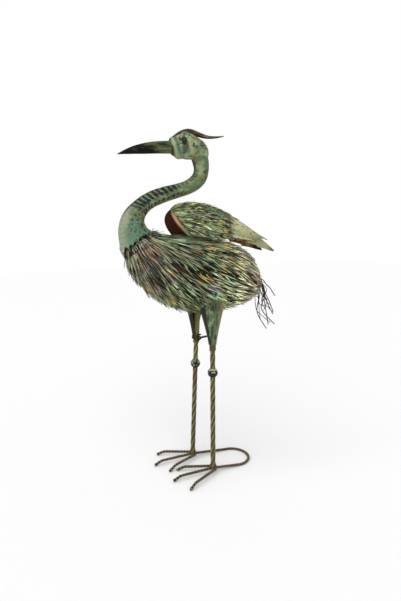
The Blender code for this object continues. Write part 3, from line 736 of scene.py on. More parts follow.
def head_finish():
    """Teal cheeks, a pale rim, dark eye patches and ochre at the throat."""
    finish = Finish("head patina", roughness=0.45)
    along, around, _ = finish.layout.parts()
    colour = finish.patches(LEAF_GREEN, [
        (PALE_GREEN, 0.020, 31.0, 0.42, 0.60),
        (TEAL, 0.024, 32.0, 0.56, 0.66),
        (OCHRE, 0.014, 33.0, 0.56, 0.70),
    ])
    low = 1 - (around - 0.5).size() * 2
    from_rim = along - (low.power(2) * RIM_SWEEP + RIM_TOP)
    colour = (from_rim.size().step(0.035, 0.015) * 0.8).mix(colour, PALE_GREEN)
    # A dark line in the groove behind the rim: painted shade.
    colour = ((from_rim - 0.085).size().step(0.03, 0.0) * 0.5).mix(colour, DARK_BROWN)
    colour = from_rim.step(-0.05, -0.085).mix(colour, DARK_BROWN)
    chin = low.step(0.88, 0.97) * along.step(0.75, 0.55)
    colour = (chin * 0.7).mix(colour, (0.200, 0.110, 0.075))
    colour = (finish.spot(-0.022, 0.868, 0.017, 0.007, 2.0) * 0.8).mix(colour, OCHRE)
    # Dark brown reaching down from the eye: painted shadow under the eye.
    colour = (finish.spot(-0.058, 0.893, 0.009, 0.016, 6.0) * 0.6).mix(colour, DARK_BROWN)
    colour = (finish.spot(-0.0615, 0.906, 0.0075, 0.0105, 4.0) * 0.95).mix(colour, SOOT_AND_SHADE)
    grime = finish.place.noise(110, 34.0, 4.0).step(0.52, 0.62)
    colour = (grime * 0.7).mix(colour * 1.12, DARK_BROWN)
    colour = finish.spot(-0.0360, 0.8985, 0.0024, 0.0040, 1.0).mix(colour, SOOT_AND_SHADE)
    colour = (finish.spot(-0.0090, 0.8975, 0.0075, 0.0016, 3.0) * 0.9).mix(colour, SOOT_AND_SHADE)
    colour = ((low.step(0.07, 0.03) * along.step(0.4, 0.5)) * 0.8).mix(colour, SOOT_AND_SHADE)
    finish.feed("Base Color", colour)
    finish.bumps(finish.place.noise(260, 8.0, 3.0), 0.0005)
    return finish.material


head_piece(head_finish())

# %% The eyes
def eye_centre(side):
    """A little under the head's skin."""
    return head_point(EYE_SHARE, side * EYE_ANGLE, -0.25 * EYE_RADIUS)


def eye_finish():
    """Black enamel with a painted highlight, a small white spot towards the front and top."""
    finish = Finish("eye enamel", roughness=0.12, shine=0.5)
    finish.shader.inputs["Coat Weight"].default_value = 0.6
    centre = eye_centre(-1) + Vector((-0.0012, 0, 0.0034))
    x, _, z = finish.place.parts()
    far = ((x - (centre.x + bird_place.x)) / 0.0010).power(2) + ((z - centre.z) / 0.0010).power(2)
    finish.feed("Base Color", far.step(1.2, 0.7).mix(SOOT_AND_SHADE, (0.9, 0.9, 0.85)))
    return finish.material


enamel = eye_finish()
for side, name in ((-1, "left"), (1, "right")):
    bm = bmesh.new()
    bmesh.ops.create_uvsphere(bm, u_segments=24, v_segments=14, radius=EYE_RADIUS)
    bmesh.ops.translate(bm, verts=bm.verts, vec=eye_centre(side))
    make_object(f"dressed_eye_{name}", bm, enamel, [f"eye_{name}"])

# %% The beak
BEAK_LINE = [
    (-0.2270, 0.3660, 0.0008, 0.0008),
    (-0.2040, 0.3735, 0.0064, 0.0038),
    (-0.1830, 0.3790, 0.0102, 0.0060),
    (-0.1620, 0.3830, 0.0128, 0.0078),
    (-0.1400, 0.3865, 0.0144, 0.0092),
    (-0.1180, 0.3890, 0.0152, 0.0104),
    (-0.0820, 0.3920, 0.0160, 0.0120),
]


def beak_piece(finish):
    """Folded cone with a keel along its top and a groove where the two halves meet."""
    rows, columns = 48, 40

    def place(row, column):
        x, z, half_height, half_width = smooth_line(BEAK_LINE, row / rows)
        angle = 2 * math.pi * column / columns
        up = math.cos(angle)
        narrow = 1 - 0.35 * max(up, 0)
        mouth = 1 - 0.10 * math.exp(-((up + 0.18) / 0.10) ** 2)
        side = half_width * math.sin(angle) * narrow * mouth
        return hip + Vector((x, side, z + half_height * up))

    bm = mapped_grid(rows, columns, place)
    return make_object("dressed_beak", bm, finish, ["beak"], sharp=60)


def beak_finish():
    """Near black at the tip and below, olive ochre towards the face, with streaks along it."""
    finish = Finish("beak horn", roughness=0.5, shine=0.08)
    along, around, _ = finish.layout.parts()
    low = 1 - (around - 0.5).size() * 2
    strokes = finish.streaks((22, 160, 190), 41.0, 3.0)
    base = finish.patches(LEAF_GREEN, [
        (OCHRE, 0.016, 42.0, 0.46, 0.60), (OLIVE, 0.010, 43.0, 0.5, 0.62),
    ])
    # Black at the tip is the beak's own colour; the darkening towards its underside is painted shade.
    shade = (along + (strokes - 0.5) * 0.9 - low * 0.36).step(0.34, 0.72)
    colour = shade.mix(SOOT_AND_SHADE, base * 0.55)
    colour = (strokes.step(0.56, 0.66) * along.step(0.2, 0.5) * 0.35).mix(colour, PALE_GREEN)
    colour = (strokes.step(0.44, 0.36) * 0.75).mix(colour, SOOT_AND_SHADE)
    finish.feed("Base Color", colour)
    finish.bumps(strokes, 0.0005)
    return finish.material


beak_piece(beak_finish())

# %% The crest
CREST_LINE = [
    (-0.0930, 0.4120, 0.0040, 0.0040),
    (-0.0830, 0.4195, 0.0080, 0.0085),
    (-0.0670, 0.4310, 0.0100, 0.0110),
    (-0.0500, 0.4385, 0.0110, 0.0120),
    (-0.0340, 0.4400, 0.0115, 0.0115),
    (-0.0160, 0.4360, 0.0100, 0.0100),
    (0.0000, 0.4310, 0.0080, 0.0085),
    (0.0190, 0.4275, 0.0056, 0.0066),
    (0.0400, 0.4280, 0.0036, 0.0042),
    (0.0620, 0.4310, 0.0012, 0.0012),
]
SHEET = 0.0016


def crest_piece(finish):
    """The folded strip: two curved flanks with the thickness of the sheet."""
    rows, flank_steps = 60, 5
    outer = [(step / flank_steps) for step in range(-flank_steps, flank_steps + 1)]
    columns = 2 * len(outer)

    def place(row, column):
        x, z, depth, half_width = smooth_line(CREST_LINE, row / rows)
        column %= columns
        inner = column >= len(outer)
        side = outer[columns - 1 - column] if inner else outer[column]
        drop = depth * abs(side) ** 1.5
        thick = SHEET * 0.9 if inner and row not in (0, rows) else 0.0
        return hip + Vector((x, half_width * side, z - drop - thick))

    bm = mapped_grid(rows, columns, place)
    return make_object("dressed_crest", bm, finish, ["crest"])


def crest_finish():
    """Dark brown with olive and rust streaks along the strip."""
    finish = Finish("crest patina", roughness=0.5)
    along, _, _ = finish.layout.parts()
    strokes = finish.streaks((30, 150, 150), 51.0)
    colour = strokes.step(0.48, 0.66).mix(DARK_BROWN, OLIVE)
    rusty = along.step(0.25, 0.45) * along.step(0.75, 0.55) * strokes.step(0.42, 0.55)
    colour = (rusty * 0.35).mix(colour, RUST)
    finish.feed("Base Color", colour)
    return finish.material


crest_piece(crest_finish())

# %% [markdown]
# ## The wings
# Each wing is a dished leaf of sheet. Its front is covered in small fringe like the body, and
# long smooth blades run from the middle to the tip, each lower one a little shorter, so the lower
# edge has steps. The front rim is bare and worn pink, and the hollow inside is dark brown.

# %% The wings' form
WING_RIDGE = [
    (-0.0930, -0.0030, 0.2360),
    (-0.0790, -0.0030, 0.2450),
    (-0.0480, -0.0030, 0.2520),
    (-0.0150, -0.0035, 0.2530),
    (0.0200, -0.0050, 0.2460),
    (0.0600, -0.0090, 0.2300),
    (0.1000, -0.0150, 0.2060),
    (0.1450, -0.0220, 0.1760),
    (0.1850, -0.0280, 0.1470),
    (0.2080, -0.0320, 0.1270),
]
WING_HEM = [
    (-0.0690, -0.0580, 0.1720),
    (-0.0420, -0.0640, 0.1690),
    (-0.0150, -0.0670, 0.1660),
    (0.0200, -0.0670, 0.1620),
    (0.0500, -0.0640, 0.1610),
    (0.0800, -0.0590, 0.1560),
    (0.1100, -0.0530, 0.1510),
    (0.1400, -0.0470, 0.1400),
    (0.1700, -0.0400, 0.1330),
    (0.2070, -0.0330, 0.1240),
]
WING_BULGE = 0.013
WING_BROW = 0.015


def wing_point(share, across, side, rise=0.0):
    """A point over a wing's outer face. across is 0 at the ridge and 1 at the lower hem."""
    ridge = hip + Vector(smooth_line(WING_RIDGE, min(share, 1)))
    hem = hip + Vector(smooth_line(WING_HEM, min(share, 1)))
    span = hem - ridge
    outward = Vector((1, 0, 0)).cross(span).normalized()
    if outward.y > 0:
        outward.negate()
    swell = 4 * across * (1 - across)
    narrowing = math.sin(math.pi * min(0.5, share + 0.18)) * max(1 - share, 0) ** 0.5
    point = ridge + span * across + outward * (WING_BULGE * swell * narrowing + rise)
    point.x -= WING_BROW * swell * max(1 - share, 0) ** 6
    point.x += max(share - 1, 0) * 0.3
    point.y *= -side
    return point


def wing_leaf(name, side, outside, inside):
    """The dished leaf with its thickness. The hollow face has its own finish."""
    rows, across_steps = 60, 20
    columns = 2 * across_steps + 2

    def place(row, column):
        column %= columns
        inner = column > across_steps
        step = columns - 1 - column if inner else column
        share = row / rows
        reach = 1 - 0.10 * (row % 8 / 8) * min(1, 4 * (1 - share)) if share > 0.5 else 1.0
        return wing_point(share, step / across_steps * reach, side, -SHEET if inner else 0.0)

    bm = mapped_grid(rows, columns, place)
    leaf = make_object(f"wing_leaf_{name}", bm, outside, [f"wing_{name}"])
    leaf.data.materials.append(inside)
    layout = leaf.data.uv_layers["UVMap"].uv
    for face in leaf.data.polygons:
        middle = sum(layout[loop].vector.y for loop in face.loop_indices) / face.loop_total
        face.material_index = int(middle * columns > across_steps + 1)
    return leaf


# %% The wings' finishes
def wing_finish():
    """Olive leaf with a bare pink rim in front and a pinkish lower rim."""
    finish = Finish("wing leaf", roughness=0.5)
    along, around, _ = finish.layout.parts()
    across = around * 2.1
    colour = finish.patches(OLIVE, [
        (LEAF_GREEN, 0.03, 61.0, 0.46, 0.60), (OCHRE, 0.02, 62.0, 0.55, 0.7),
    ])
    pink = (0.40, 0.19, 0.12)
    rim = along.step(0.050, 0.032) * across.step(0.10, 0.35) * across.step(0.85, 0.60)
    colour = (rim * 0.95).mix(colour, pink)
    colour = (across.step(0.975, 0.990) * along.step(0.72, 0.6) * 0.3).mix(colour, pink)
    colour = along.step(0.60, 0.70).mix(colour, (0.330, 0.320, 0.170))
    colour = along.step(0.90, 0.97).mix(colour, (0.110, 0.115, 0.085))
    colour = (along.step(0.012, 0.004)).mix(colour, DARK_BROWN)
    finish.feed("Base Color", colour)
    return finish.material


def hollow_finish():
    """Dark maroon brown inside the wings."""
    finish = Finish("wing hollow", roughness=0.7)
    maroon = (0.170, 0.050, 0.030)
    along, _, _ = finish.layout.parts()
    colour = finish.place.noise(40, 65.0).step(0.5, 0.8).mix(maroon, DARK_BROWN)
    lit = along.step(0.60, 0.72) * finish.place.noise(90, 66.0).step(0.40, 0.56)
    colour = lit.mix(colour, OCHRE)
    colour = along.step(0.86, 0.93).mix(colour, SOOT_AND_SHADE)
    finish.feed("Base Color", colour)
    return finish.material


wing_feathers_finish = feather_finish("wing feathers", [
    ((0.300, 0.345, 0.125), 0.040, 71.0, 0.36, 0.50),
    (TEAL, 0.028, 72.0, 0.62, 0.70),
    (OCHRE, 0.030, 74.0, 0.60, 0.70),
    (LEAF_GREEN, 0.024, 76.0, 0.52, 0.62),
    (DARK_BROWN, 0.026, 79.0, 0.64, 0.74),
    (SOOT_AND_SHADE, 0.017, 80.0, 0.57, 0.64),
], shadow=0.6, painted_light_gain=1.35)


def blade_finish():
    """Smooth olive blades, greyer at the tip, with dark edges."""
    finish = Finish("wing blades", roughness=0.45)
    tone = add_node(finish.tree, "ShaderNodeAttribute", {"attribute_name": "tone"}, {}, "Fac")
    across, along, _ = finish.layout.parts()
    x, _, _ = finish.place.parts()
    colour = finish.patches((0.560, 0.550, 0.290), [
        ((0.430, 0.500, 0.290), 0.030, 81.0, 0.50, 0.66),
        ((0.400, 0.310, 0.140), 0.012, 82.0, 0.58, 0.72),
        (OLIVE, 0.008, 83.0, 0.58, 0.70),
    ])
    colour = ((x - bird_place.x).step(0.165, 0.205) * 0.8).mix(colour, (0.09, 0.10, 0.075))
    # Dark at the blades' roots, under the fringe: painted shade.
    colour = (along.step(0.27, 0.12) * 0.8).mix(colour, DARK_BROWN)
    colour = ((across - 0.5).size().step(0.41, 0.48) * 0.9).mix(colour, DARK_BROWN)
    colour = colour * (tone * 0.3 + 0.85)
    finish.feed("Base Color", colour)
    finish.bumps((across * 60).wave(), 0.0002)
    return finish.material


# %% The wings' feathers
WING_ROWS = 30
WING_ACROSS = 32
FRINGE_START = 0.05     # where the first row has its roots, as a share of the wing's length
FRINGE_REACH = 0.56     # how far the rows run from there
FRINGE_LENGTHS = (0.018, 0.040)
FRINGE_HALF_WIDTHS = (0.0012, 0.0020)
RIDGE_LIFT = 0.0085     # how far the slivers at the ridge may stand off
BLADES = 8
BLADE_HALF_WIDTH = 0.0070
BLADE_STIFFNESS = 0.3
BLADE_STEPS = 14
OVER_LEAF = 0.0004


def wing_places(rng):
    """Small fringe on the wing's front, slanting down there and standing off at the ridge."""
    places = []
    for row in range(WING_ROWS):
        share = FRINGE_START + FRINGE_REACH * row / (WING_ROWS - 1)
        for order in range(WING_ACROSS):
            across = 0.01 + 0.95 * (order + 0.5 * (row % 2) + rng.uniform(-0.3, 0.3)) / WING_ACROSS
            if share > 0.40 + 0.20 * (1 - across) + rng.uniform(-0.06, 0.06):
                continue
            length = rng.uniform(*FRINGE_LENGTHS)
            lift = 0.0012 + 0.0035 * rng.random() ** 3
            lift += RIDGE_LIFT * rng.random() * max(0, 1 - 6 * across)
            slant = 0.35 + 0.35 * max(0, 1 - 2 * share)
            turn = slant * min(1, 4 * across) - 0.12 + rng.uniform(-0.15, 0.15)
            places.append(Sliver(
                share + rng.uniform(-0.01, 0.01), across, length, rng.uniform(*FRINGE_HALF_WIDTHS),
                turn, lift, rng.uniform(0.1, 0.4), rng.random(),
            ))
    return places


def blade_places(rng):
    """Long blades to the tip: each lower one starts and ends further forward."""
    places = []
    for order in range(BLADES):
        across = 0.10 + 0.80 * order / (BLADES - 1)
        start = 0.54 - 0.14 * across
        length = 0.148 - 0.052 * across
        lift = 0.0020 - 0.0012 * across
        places.append(Sliver(
            start, across, length, BLADE_HALF_WIDTH, 0.0, lift, BLADE_STIFFNESS, rng.random(),
        ))
    return list(reversed(places))


wing_outside, wing_inside, blade_paint = wing_finish(), hollow_finish(), blade_finish()
for side, name in ((-1, "left"), (1, "right")):
    wing_leaf(name, side, wing_outside, wing_inside)
    rng = random.Random(20 + side)

    def over_wing(share, across, rise, side=side):
        return wing_point(share, min(max(across, 0), 1), side, rise + OVER_LEAF)

    fringe, blades = wing_places(rng), blade_places(rng)
    sliver_cloud(f"wing_fringe_{name}", fringe, over_wing, wing_feathers_finish)
    sliver_cloud(f"wing_blades_{name}", blades, over_wing, blade_paint, BLADE_STEPS)

# %% [markdown]
# ## The legs
# Each leg is square bar, twisted while hot, in a tube that goes up into the belly. A ball is
# threaded on for the knee, and half a cone of sheet hides where the tube meets the feathers. The
# twist is real form here: the square's corners wind up the bar and catch the light.

# %% Shapes of the legs
LEG_BAR = 0.010
BAR_PITCH = 0.114       # length of one full turn of the twist
TUBE_WALL = 0.0015
BORE_PLAY = 0.0003
GAP = 0.0003
BALL_RADIUS = 0.0140
TOE_BAR = 0.0080
WELD_HEIGHT = 0.009
WELD_SPREAD = 0.0035
BAR_INSERT = 0.040
THIGH_SHEET = 0.0018
THIGH_FOOT = 0.017
THIGH_TUCK = 0.013
THIGH_TOP_LENGTH = 0.046
THIGH_TOP_WIDTH = 0.023


class Leg:
    """One leg's axis, from the ankle on its foot up to the hip."""

    def __init__(self, side):
        self.side = side
        self.ankle = Vector((-side * STEP / 2, side * LEG_SPREAD / 2, ANKLE_RISE))
        self.top = Vector((HIP_X, side * LEG_SPREAD / 2, HIP_HEIGHT))
        self.direction = (self.top - self.ankle).normalized()
        lean = math.atan2(self.direction.x, self.direction.z)
        self.turn = Matrix.Translation(self.ankle) @ Matrix.Rotation(lean, 4, "Y")

    def along(self, height):
        """Distance from the ankle to a height above the ground, along the leg."""
        return (height - ANKLE_RISE) / self.direction.z


bar_radius = LEG_BAR / math.sqrt(2)
tube_radius = bar_radius + BORE_PLAY + TUBE_WALL


def standing(leg, bm):
    """Tilts a shape drawn up the Z axis onto the leg."""
    bmesh.ops.transform(bm, matrix=leg.turn, verts=bm.verts)
    return bm


def turned(profile, sides):
    """A profile of (radius, height) points turned once round the leg's axis."""
    bm = bmesh.new()
    corners = [bm.verts.new((radius, 0, height)) for radius, height in profile]
    edges = [bm.edges.new(pair) for pair in zip(corners, corners[1:] + corners[:1])]
    bmesh.ops.spin(
        bm, geom=corners + edges, cent=(0, 0, 0), axis=(0, 0, 1),
        angle=2 * math.pi, steps=sides, use_merge=True,
    )
    return bm


def twisted_bar(leg, name, finish):
    """Square bar whose four worn edges wind round its length, spread by a weld at the foot."""
    rows, columns = 150, 24
    bottom = TOE_BAR / 2 + 3 * GAP
    length = leg.along(SOCKET_HEIGHT + BAR_INSERT) - bottom
    turns = length / BAR_PITCH

    def place(row, column):
        height = bottom + length * row / rows
        corner = 2 * math.pi * column / columns
        angle = corner + 2 * math.pi * turns * row / rows
        radius = bar_radius * (0.960 - 0.040 * math.cos(4 * corner))
        weld = math.exp(-((height - bottom) / WELD_HEIGHT * 1.6) ** 2)
        radius += WELD_SPREAD * weld * (1 + 0.3 * math.sin(5 * angle + 3 * row))
        return Vector((radius * math.cos(angle), radius * math.sin(angle), height))

    bm = standing(leg, mapped_grid(rows, columns, place))
    return make_object(f"twisted_bar_{name}", bm, finish, [f"leg_bar_{name}"], sharp=60)


def leg_tube(leg, name, finish):
    """Upper leg tube, open below where the twisted bar goes in."""
    bore = bar_radius + BORE_PLAY
    low = leg.along(SOCKET_HEIGHT)
    roof = leg.along(SOCKET_HEIGHT + BAR_INSERT) + GAP
    top = leg.along(HIP_HEIGHT)
    profile = [(bore, low), (tube_radius, low), (tube_radius, top), (0, top), (0, roof), (bore, roof)]
    bm = standing(leg, turned(profile, 40))
    bmesh.ops.remove_doubles(bm, verts=bm.verts, dist=WELD)
    return make_object(f"upper_tube_{name}", bm, finish, [f"leg_tube_{name}"])


def knee_ball(leg, name, finish):
    """Ball threaded on the twisted bar."""
    bore = bar_radius + BORE_PLAY
    opening = math.asin(bore / BALL_RADIUS)
    centre = leg.along(KNEE_HEIGHT)
    steps = 16
    profile = []
    for step in range(steps + 1):
        angle = opening + (math.pi - 2 * opening) * step / steps
        profile.append((BALL_RADIUS * math.sin(angle), centre - BALL_RADIUS * math.cos(angle)))
    bm = standing(leg, turned(profile, 40))
    return make_object(f"threaded_ball_{name}", bm, finish, [f"knee_ball_{name}"])


def thigh_plate(leg, name, finish):
    """Half cone of sheet that hugs the tube in front and outside, and flares up under the body."""
    steps, rows = 28, 24
    columns = 2 * steps + 2
    foot = tube_radius + GAP
    low = leg.along(SOCKET_HEIGHT + THIGH_FOOT)
    rise = leg.along(HIP_HEIGHT + THIGH_TUCK) - low
    facing = math.pi - leg.side * math.radians(45)
    arc = math.radians(182)

    def place(row, column):
        flare = (row / rows) ** 1.2
        column %= columns
        outer = column <= steps
        step = column if outer else columns - 1 - column
        thick = THIGH_SHEET if outer else 0.0
        angle = facing + arc * (step / steps - 0.5)
        length = foot + (THIGH_TOP_LENGTH - foot) * flare + thick
        width = foot + (THIGH_TOP_WIDTH - foot) * flare + thick
        return Vector((length * math.cos(angle), width * math.sin(angle), low + rise * row / rows))

    bm = standing(leg, mapped_grid(rows, columns, place))
    return make_object(f"half_cone_{name}", bm, finish, [f"thigh_plate_{name}"])


# %% Finishes of the legs
def bronze_finish(name, wear_and_painted_light, painted_light_gain=1.0):
    """Olive bronze paint, rusty in patches, with the sunk flats of the twist darkened as painted shade.

    The far leg is painted paler above the knee ball, as painted light, and is bare and rusty just below
    it. The second argument sets how strong the painted shade and light are.
    """
    finish = Finish(name, roughness=0.5)
    _, side, up = finish.place.parts()
    around = finish.layout.parts()[1]
    colour = finish.patches((0.180, 0.145, 0.050), [
        ((0.120, 0.120, 0.045), 0.030, 91.0, 0.48, 0.62),
        ((0.130, 0.060, 0.025), 0.028, 92.0, 0.58, 0.68),
        (DARK_BROWN, 0.007, 93.0, 0.54, 0.66),
        ((0.280, 0.220, 0.090), 0.006, 94.0, 0.58, 0.70),
    ])
    far_leg = side.step(0.0, 0.01)
    # Above the knee ball the far leg is painted paler: painted light.
    pale = up.step(KNEE_HEIGHT, KNEE_HEIGHT + 0.006) * far_leg
    rusty = up.step(KNEE_HEIGHT - 0.075, KNEE_HEIGHT - 0.050) * far_leg
    rusty = rusty * up.step(KNEE_HEIGHT, KNEE_HEIGHT - 0.006)
    colour = (pale * 0.5 * wear_and_painted_light).mix(colour, (0.300, 0.300, 0.120))
    colour = (rusty * 0.8).mix(colour, (0.160, 0.062, 0.030))
    stain = up.step(SOCKET_HEIGHT + 0.030, SOCKET_HEIGHT + 0.012) * (1 - wear_and_painted_light)
    colour = (stain * 0.9).mix(colour, (0.060, 0.042, 0.018))
    # The sunk flats of the twist are darkened: painted shade.
    groove = ((around * 4).fraction() - 0.5).size()
    colour = (groove.step(0.16, 0.38) * wear_and_painted_light * 0.85).mix(colour, (0.018, 0.015, 0.008))
    colour = (groove.step(0.10, 0.03) * wear_and_painted_light * 0.4).mix(colour, (0.340, 0.300, 0.130))
    colour = (up.step(0.040, 0.018) * 0.75).mix(colour, (0.10, 0.045, 0.02))
    # The gain brightens the whole colour: painted light.
    finish.feed("Base Color", colour * painted_light_gain)
    finish.bumps(finish.place.noise(400, 4.0, 3.0), 0.0005)
    return finish.material


def ball_finish():
    """Pale grey green above, and black below and in blots along that edge: painted shade."""
    finish = Finish("knee ball patina", roughness=0.5)
    _, _, up = finish.place.parts()
    colour = finish.patches((0.200, 0.230, 0.140), [
        ((0.420, 0.430, 0.290), 0.006, 95.0, 0.45, 0.6), (LEAF_GREEN, 0.008, 96.0, 0.55, 0.65),
    ])
    ragged = up + (finish.place.noise(110, 97.0) - 0.5) * 0.08
    # Black on the lower half of the ball: painted shade.
    painted_shade_below = ragged.step(KNEE_HEIGHT + 0.007, KNEE_HEIGHT + 0.003)
    finish.feed("Base Color", (painted_shade_below * 0.97).mix(colour, SOOT_AND_SHADE))
    return finish.material


def thigh_finish(name, shade_from):
    """Green plate with an ochre edge. Its front from a share of its depth on, its hollow inside and its
    top under the body are painted dark as shade.
    """
    finish = Finish(name, roughness=0.5)
    along, around, _ = finish.layout.parts()
    across = around * 2.07
    x, _, up = finish.place.parts()
    depth = along.power(1.2) * (THIGH_TOP_LENGTH - tube_radius) + tube_radius
    forward = (bird_place.x + HIP_X - x) / depth
    colour = finish.patches(LEAF_GREEN, [
        (TEAL, 0.030, 101.0, 0.54, 0.66),
        (PALE_GREEN, 0.016, 102.0, 0.48, 0.62),
        (DARK_BROWN, 0.010, 103.0, 0.64, 0.74),
    ])
    strokes = finish.streaks((170, 170, 22), 104.0)
    colour = (strokes.step(0.53, 0.64) * 0.85).mix(colour * 0.74, DARK_BROWN)
    # Darker towards the top, under the body: painted shade.
    colour = (up.step(0.466, 0.484) * 0.4).mix(colour, DARK_BROWN)
    colour = ((across - 0.5).size().step(0.33, 0.42) * 0.75).mix(colour, (0.260, 0.190, 0.080))
    # The front is painted near black from the given share of its depth on: painted shade.
    ragged = forward + (finish.place.noise(70, 105.0) - 0.5) * 0.3
    colour = (ragged.step(shade_from, shade_from + 0.12) * 0.92).mix(colour, SOOT_AND_SHADE)
    # The hollow inside of the plate is painted black: painted shade.
    colour = around.step(0.50, 0.52).mix(colour, SOOT_AND_SHADE)
    finish.feed("Base Color", colour)
    finish.bumps(finish.place.noise(150, 5.0, 3.0), 0.0008)
    return finish.material


bar_paint = bronze_finish("leg bronze", 1.0)
# The tubes get a paler, brighter copy of the bronze: painted light.
tube_paint = bronze_finish("tube bronze", 0.3, 1.25)
ball_paint = ball_finish()
left, right = Leg(-1), Leg(1)
for leg, name, shade_from in ((left, "left", 0.72), (right, "right", 0.05)):
    twisted_bar(leg, name, bar_paint)
    leg_tube(leg, name, tube_paint)
    knee_ball(leg, name, ball_paint)
    thigh_plate(leg, name, thigh_finish(f"thigh patina {name}", shade_from))

# %% [markdown]
# ## The feet
# Toes and loop are ribbed building bar, bent cold and welded. The ribs run round the bar every
# nine millimetres, so they're made as real relief. The ribs are paler where paint has worn off,
# and the grooves between them are painted near black as shade.

# %% Ribbed bars
LOOP_REACH = 0.148
MID_TOE = 0.099
OUTER_TOE = 0.090
INNER_TOE = 0.084
CLAW = 0.024
OUTER_FAN = math.radians(26)
INNER_FAN = math.radians(22)
TOE_START = 0.006
KNUCKLE_BEND = 0.006
RIB_PITCH = 0.009
RIB_HEIGHT = 0.0006
RIB_STEP = 0.00155      # between the points that carry the ribs


def even_points(points, gap):
    """Points at even distances along a broken line."""
    line = [Vector(p) for p in points]
    spaced = [line[0]]
    left_over = 0.0
    for start, end in zip(line, line[1:]):
        length = (end - start).length
        reach = gap - left_over
        while reach < length:
            spaced.append(start.lerp(end, reach / length))
            reach += gap
        left_over = length - (reach - gap)
    return spaced + [line[-1]]


def bar_along(points, thickness, relief, sides=16, aside=(0, 0, 1)):
    """A round bar along the points. relief(distance, angle) raises or sinks its skin.

    Its layout runs along the bar in metres.
    """
    line = [Vector(p) for p in points]
    total = len(line) - 1
    distances = [0.0]
    for start, end in zip(line, line[1:]):
        distances.append(distances[-1] + (end - start).length)

    def place(row, column):
        ahead = line[min(row + 1, total)] - line[max(row - 1, 0)]
        across = ahead.cross(Vector(aside)).normalized()
        upward = across.cross(ahead).normalized()
        angle = 2 * math.pi * column / sides
        radius = thickness / 2 + relief(distances[row], angle)
        return line[row] + radius * (math.cos(angle) * upward + math.sin(angle) * across)

    bm = mapped_grid(total, sides, place)
    layout = bm.loops.layers.uv.verify()
    for face in bm.faces:
        for loop in face.loops:
            loop[layout].uv.x *= distances[-1]
    return bm


def ribs(distance, angle):
    """Slanting ribs round a bar."""
    turn = 2 * math.pi * distance / RIB_PITCH + 0.9 * math.sin(angle)
    return RIB_HEIGHT * (math.sin(turn) - 0.3)


def rounded_corner(before, corner, after, reach, steps=6):
    """Points that round a corner between two straight runs."""
    start = corner + (before - corner).normalized() * reach
    end = corner + (after - corner).normalized() * reach
    bend = []
    for step in range(steps + 1):
        t = step / steps
        bend.append((1 - t) ** 2 * start + 2 * t * (1 - t) * corner + t ** 2 * end)
    return bend


def toe_points(start, angle, length, side):
    """Axis of a toe: straight to the knuckle, then down to the ground."""
    ahead = Vector((-math.cos(angle), side * math.sin(angle), 0))
    knuckle = start + ahead * length
    knuckle.z = ANKLE_RISE - 0.0005
    drop = knuckle.z - TOE_BAR / 2
    tip = knuckle + ahead * math.sqrt(CLAW ** 2 - drop ** 2)
    tip.z = TOE_BAR / 2
    return [start] + rounded_corner(start, knuckle, tip, KNUCKLE_BEND) + [tip]


# %% Toes and loop
def toe_finish():
    """Dark brown bar with worn green on the ribs and orange rust in places."""
    finish = Finish("ribbed bar", roughness=0.65)
    colour = finish.patches((0.085, 0.055, 0.032), [
        ((0.15, 0.14, 0.07), 0.012, 111.0, 0.46, 0.58),
        ((0.20, 0.095, 0.045), 0.014, 112.0, 0.54, 0.64),
        ((0.20, 0.21, 0.13), 0.005, 113.0, 0.60, 0.70),
        (SOOT_AND_SHADE, 0.005, 114.0, 0.62, 0.72),
    ])
    along, around, _ = finish.layout.parts()
    crests = (along * (2 * math.pi / RIB_PITCH) + (around * 2 * math.pi).wave() * 0.9).wave()
    # Near black in the grooves between the ribs: painted shade.
    colour = (crests.step(0.45, -0.05) * 0.97).mix(colour, (0.006, 0.005, 0.004))
    colour = (crests.step(0.5, 0.9) * 0.45).mix(colour, (0.40, 0.33, 0.20))
    finish.feed("Base Color", colour)
    finish.bumps(finish.place.noise(500, 4.0, 3.0), 0.0005)
    return finish.material


rusty_bar = toe_finish()


def foot_loop():
    """One bar bent into a hairpin: both middle toes, and the loop behind the feet."""
    radius = LEG_SPREAD / 2
    rest = TOE_BAR / 2 * math.cos(math.pi / 8)
    middle = LOOP_REACH - radius
    arc = []
    steps = 40
    for step in range(steps + 1):
        angle = math.pi * (0.5 - step / steps)
        arc.append(Vector((middle + radius * math.cos(angle), radius * math.sin(angle), rest)))
    right_toe = toe_points(right.ankle, 0, MID_TOE, 1)
    left_toe = toe_points(left.ankle, 0, MID_TOE, -1)
    points = even_points(list(reversed(right_toe)) + arc + left_toe, RIB_STEP)
    bm = bar_along(points, TOE_BAR, ribs)
    stands_for = ["foot_loop_and_middle_toes"]
    make_object("ribbed_loop_and_middle_toes", bm, rusty_bar, stands_for, sharp=70)


def side_toe(leg, outer, name):
    """A toe welded beside the middle one."""
    fan, reach = (OUTER_FAN, OUTER_TOE) if outer else (INNER_FAN, INNER_TOE)
    turn = leg.side if outer else -leg.side
    beside = TOE_BAR / 2 + TOE_BAR / 2 * math.cos(fan) + 2 * GAP
    start = leg.ankle + Vector((TOE_START, turn * beside, 0))
    bm = bar_along(even_points(toe_points(start, fan, reach, turn), RIB_STEP), TOE_BAR, ribs)
    make_object(f"ribbed_{name}", bm, rusty_bar, [name], sharp=70)


foot_loop()
for leg, name in ((left, "left"), (right, "right")):
    side_toe(leg, False, f"toe_inner_{name}")
    side_toe(leg, True, f"toe_outer_{name}")

# %% [markdown]
# ## Wires
# The brace between the legs is two wires twisted together, and a thinner wire binds it to the far
# leg. A bunch of loose wires comes out of the rump, and each ends somewhere else. They're thin
# round bars along a few chosen points.

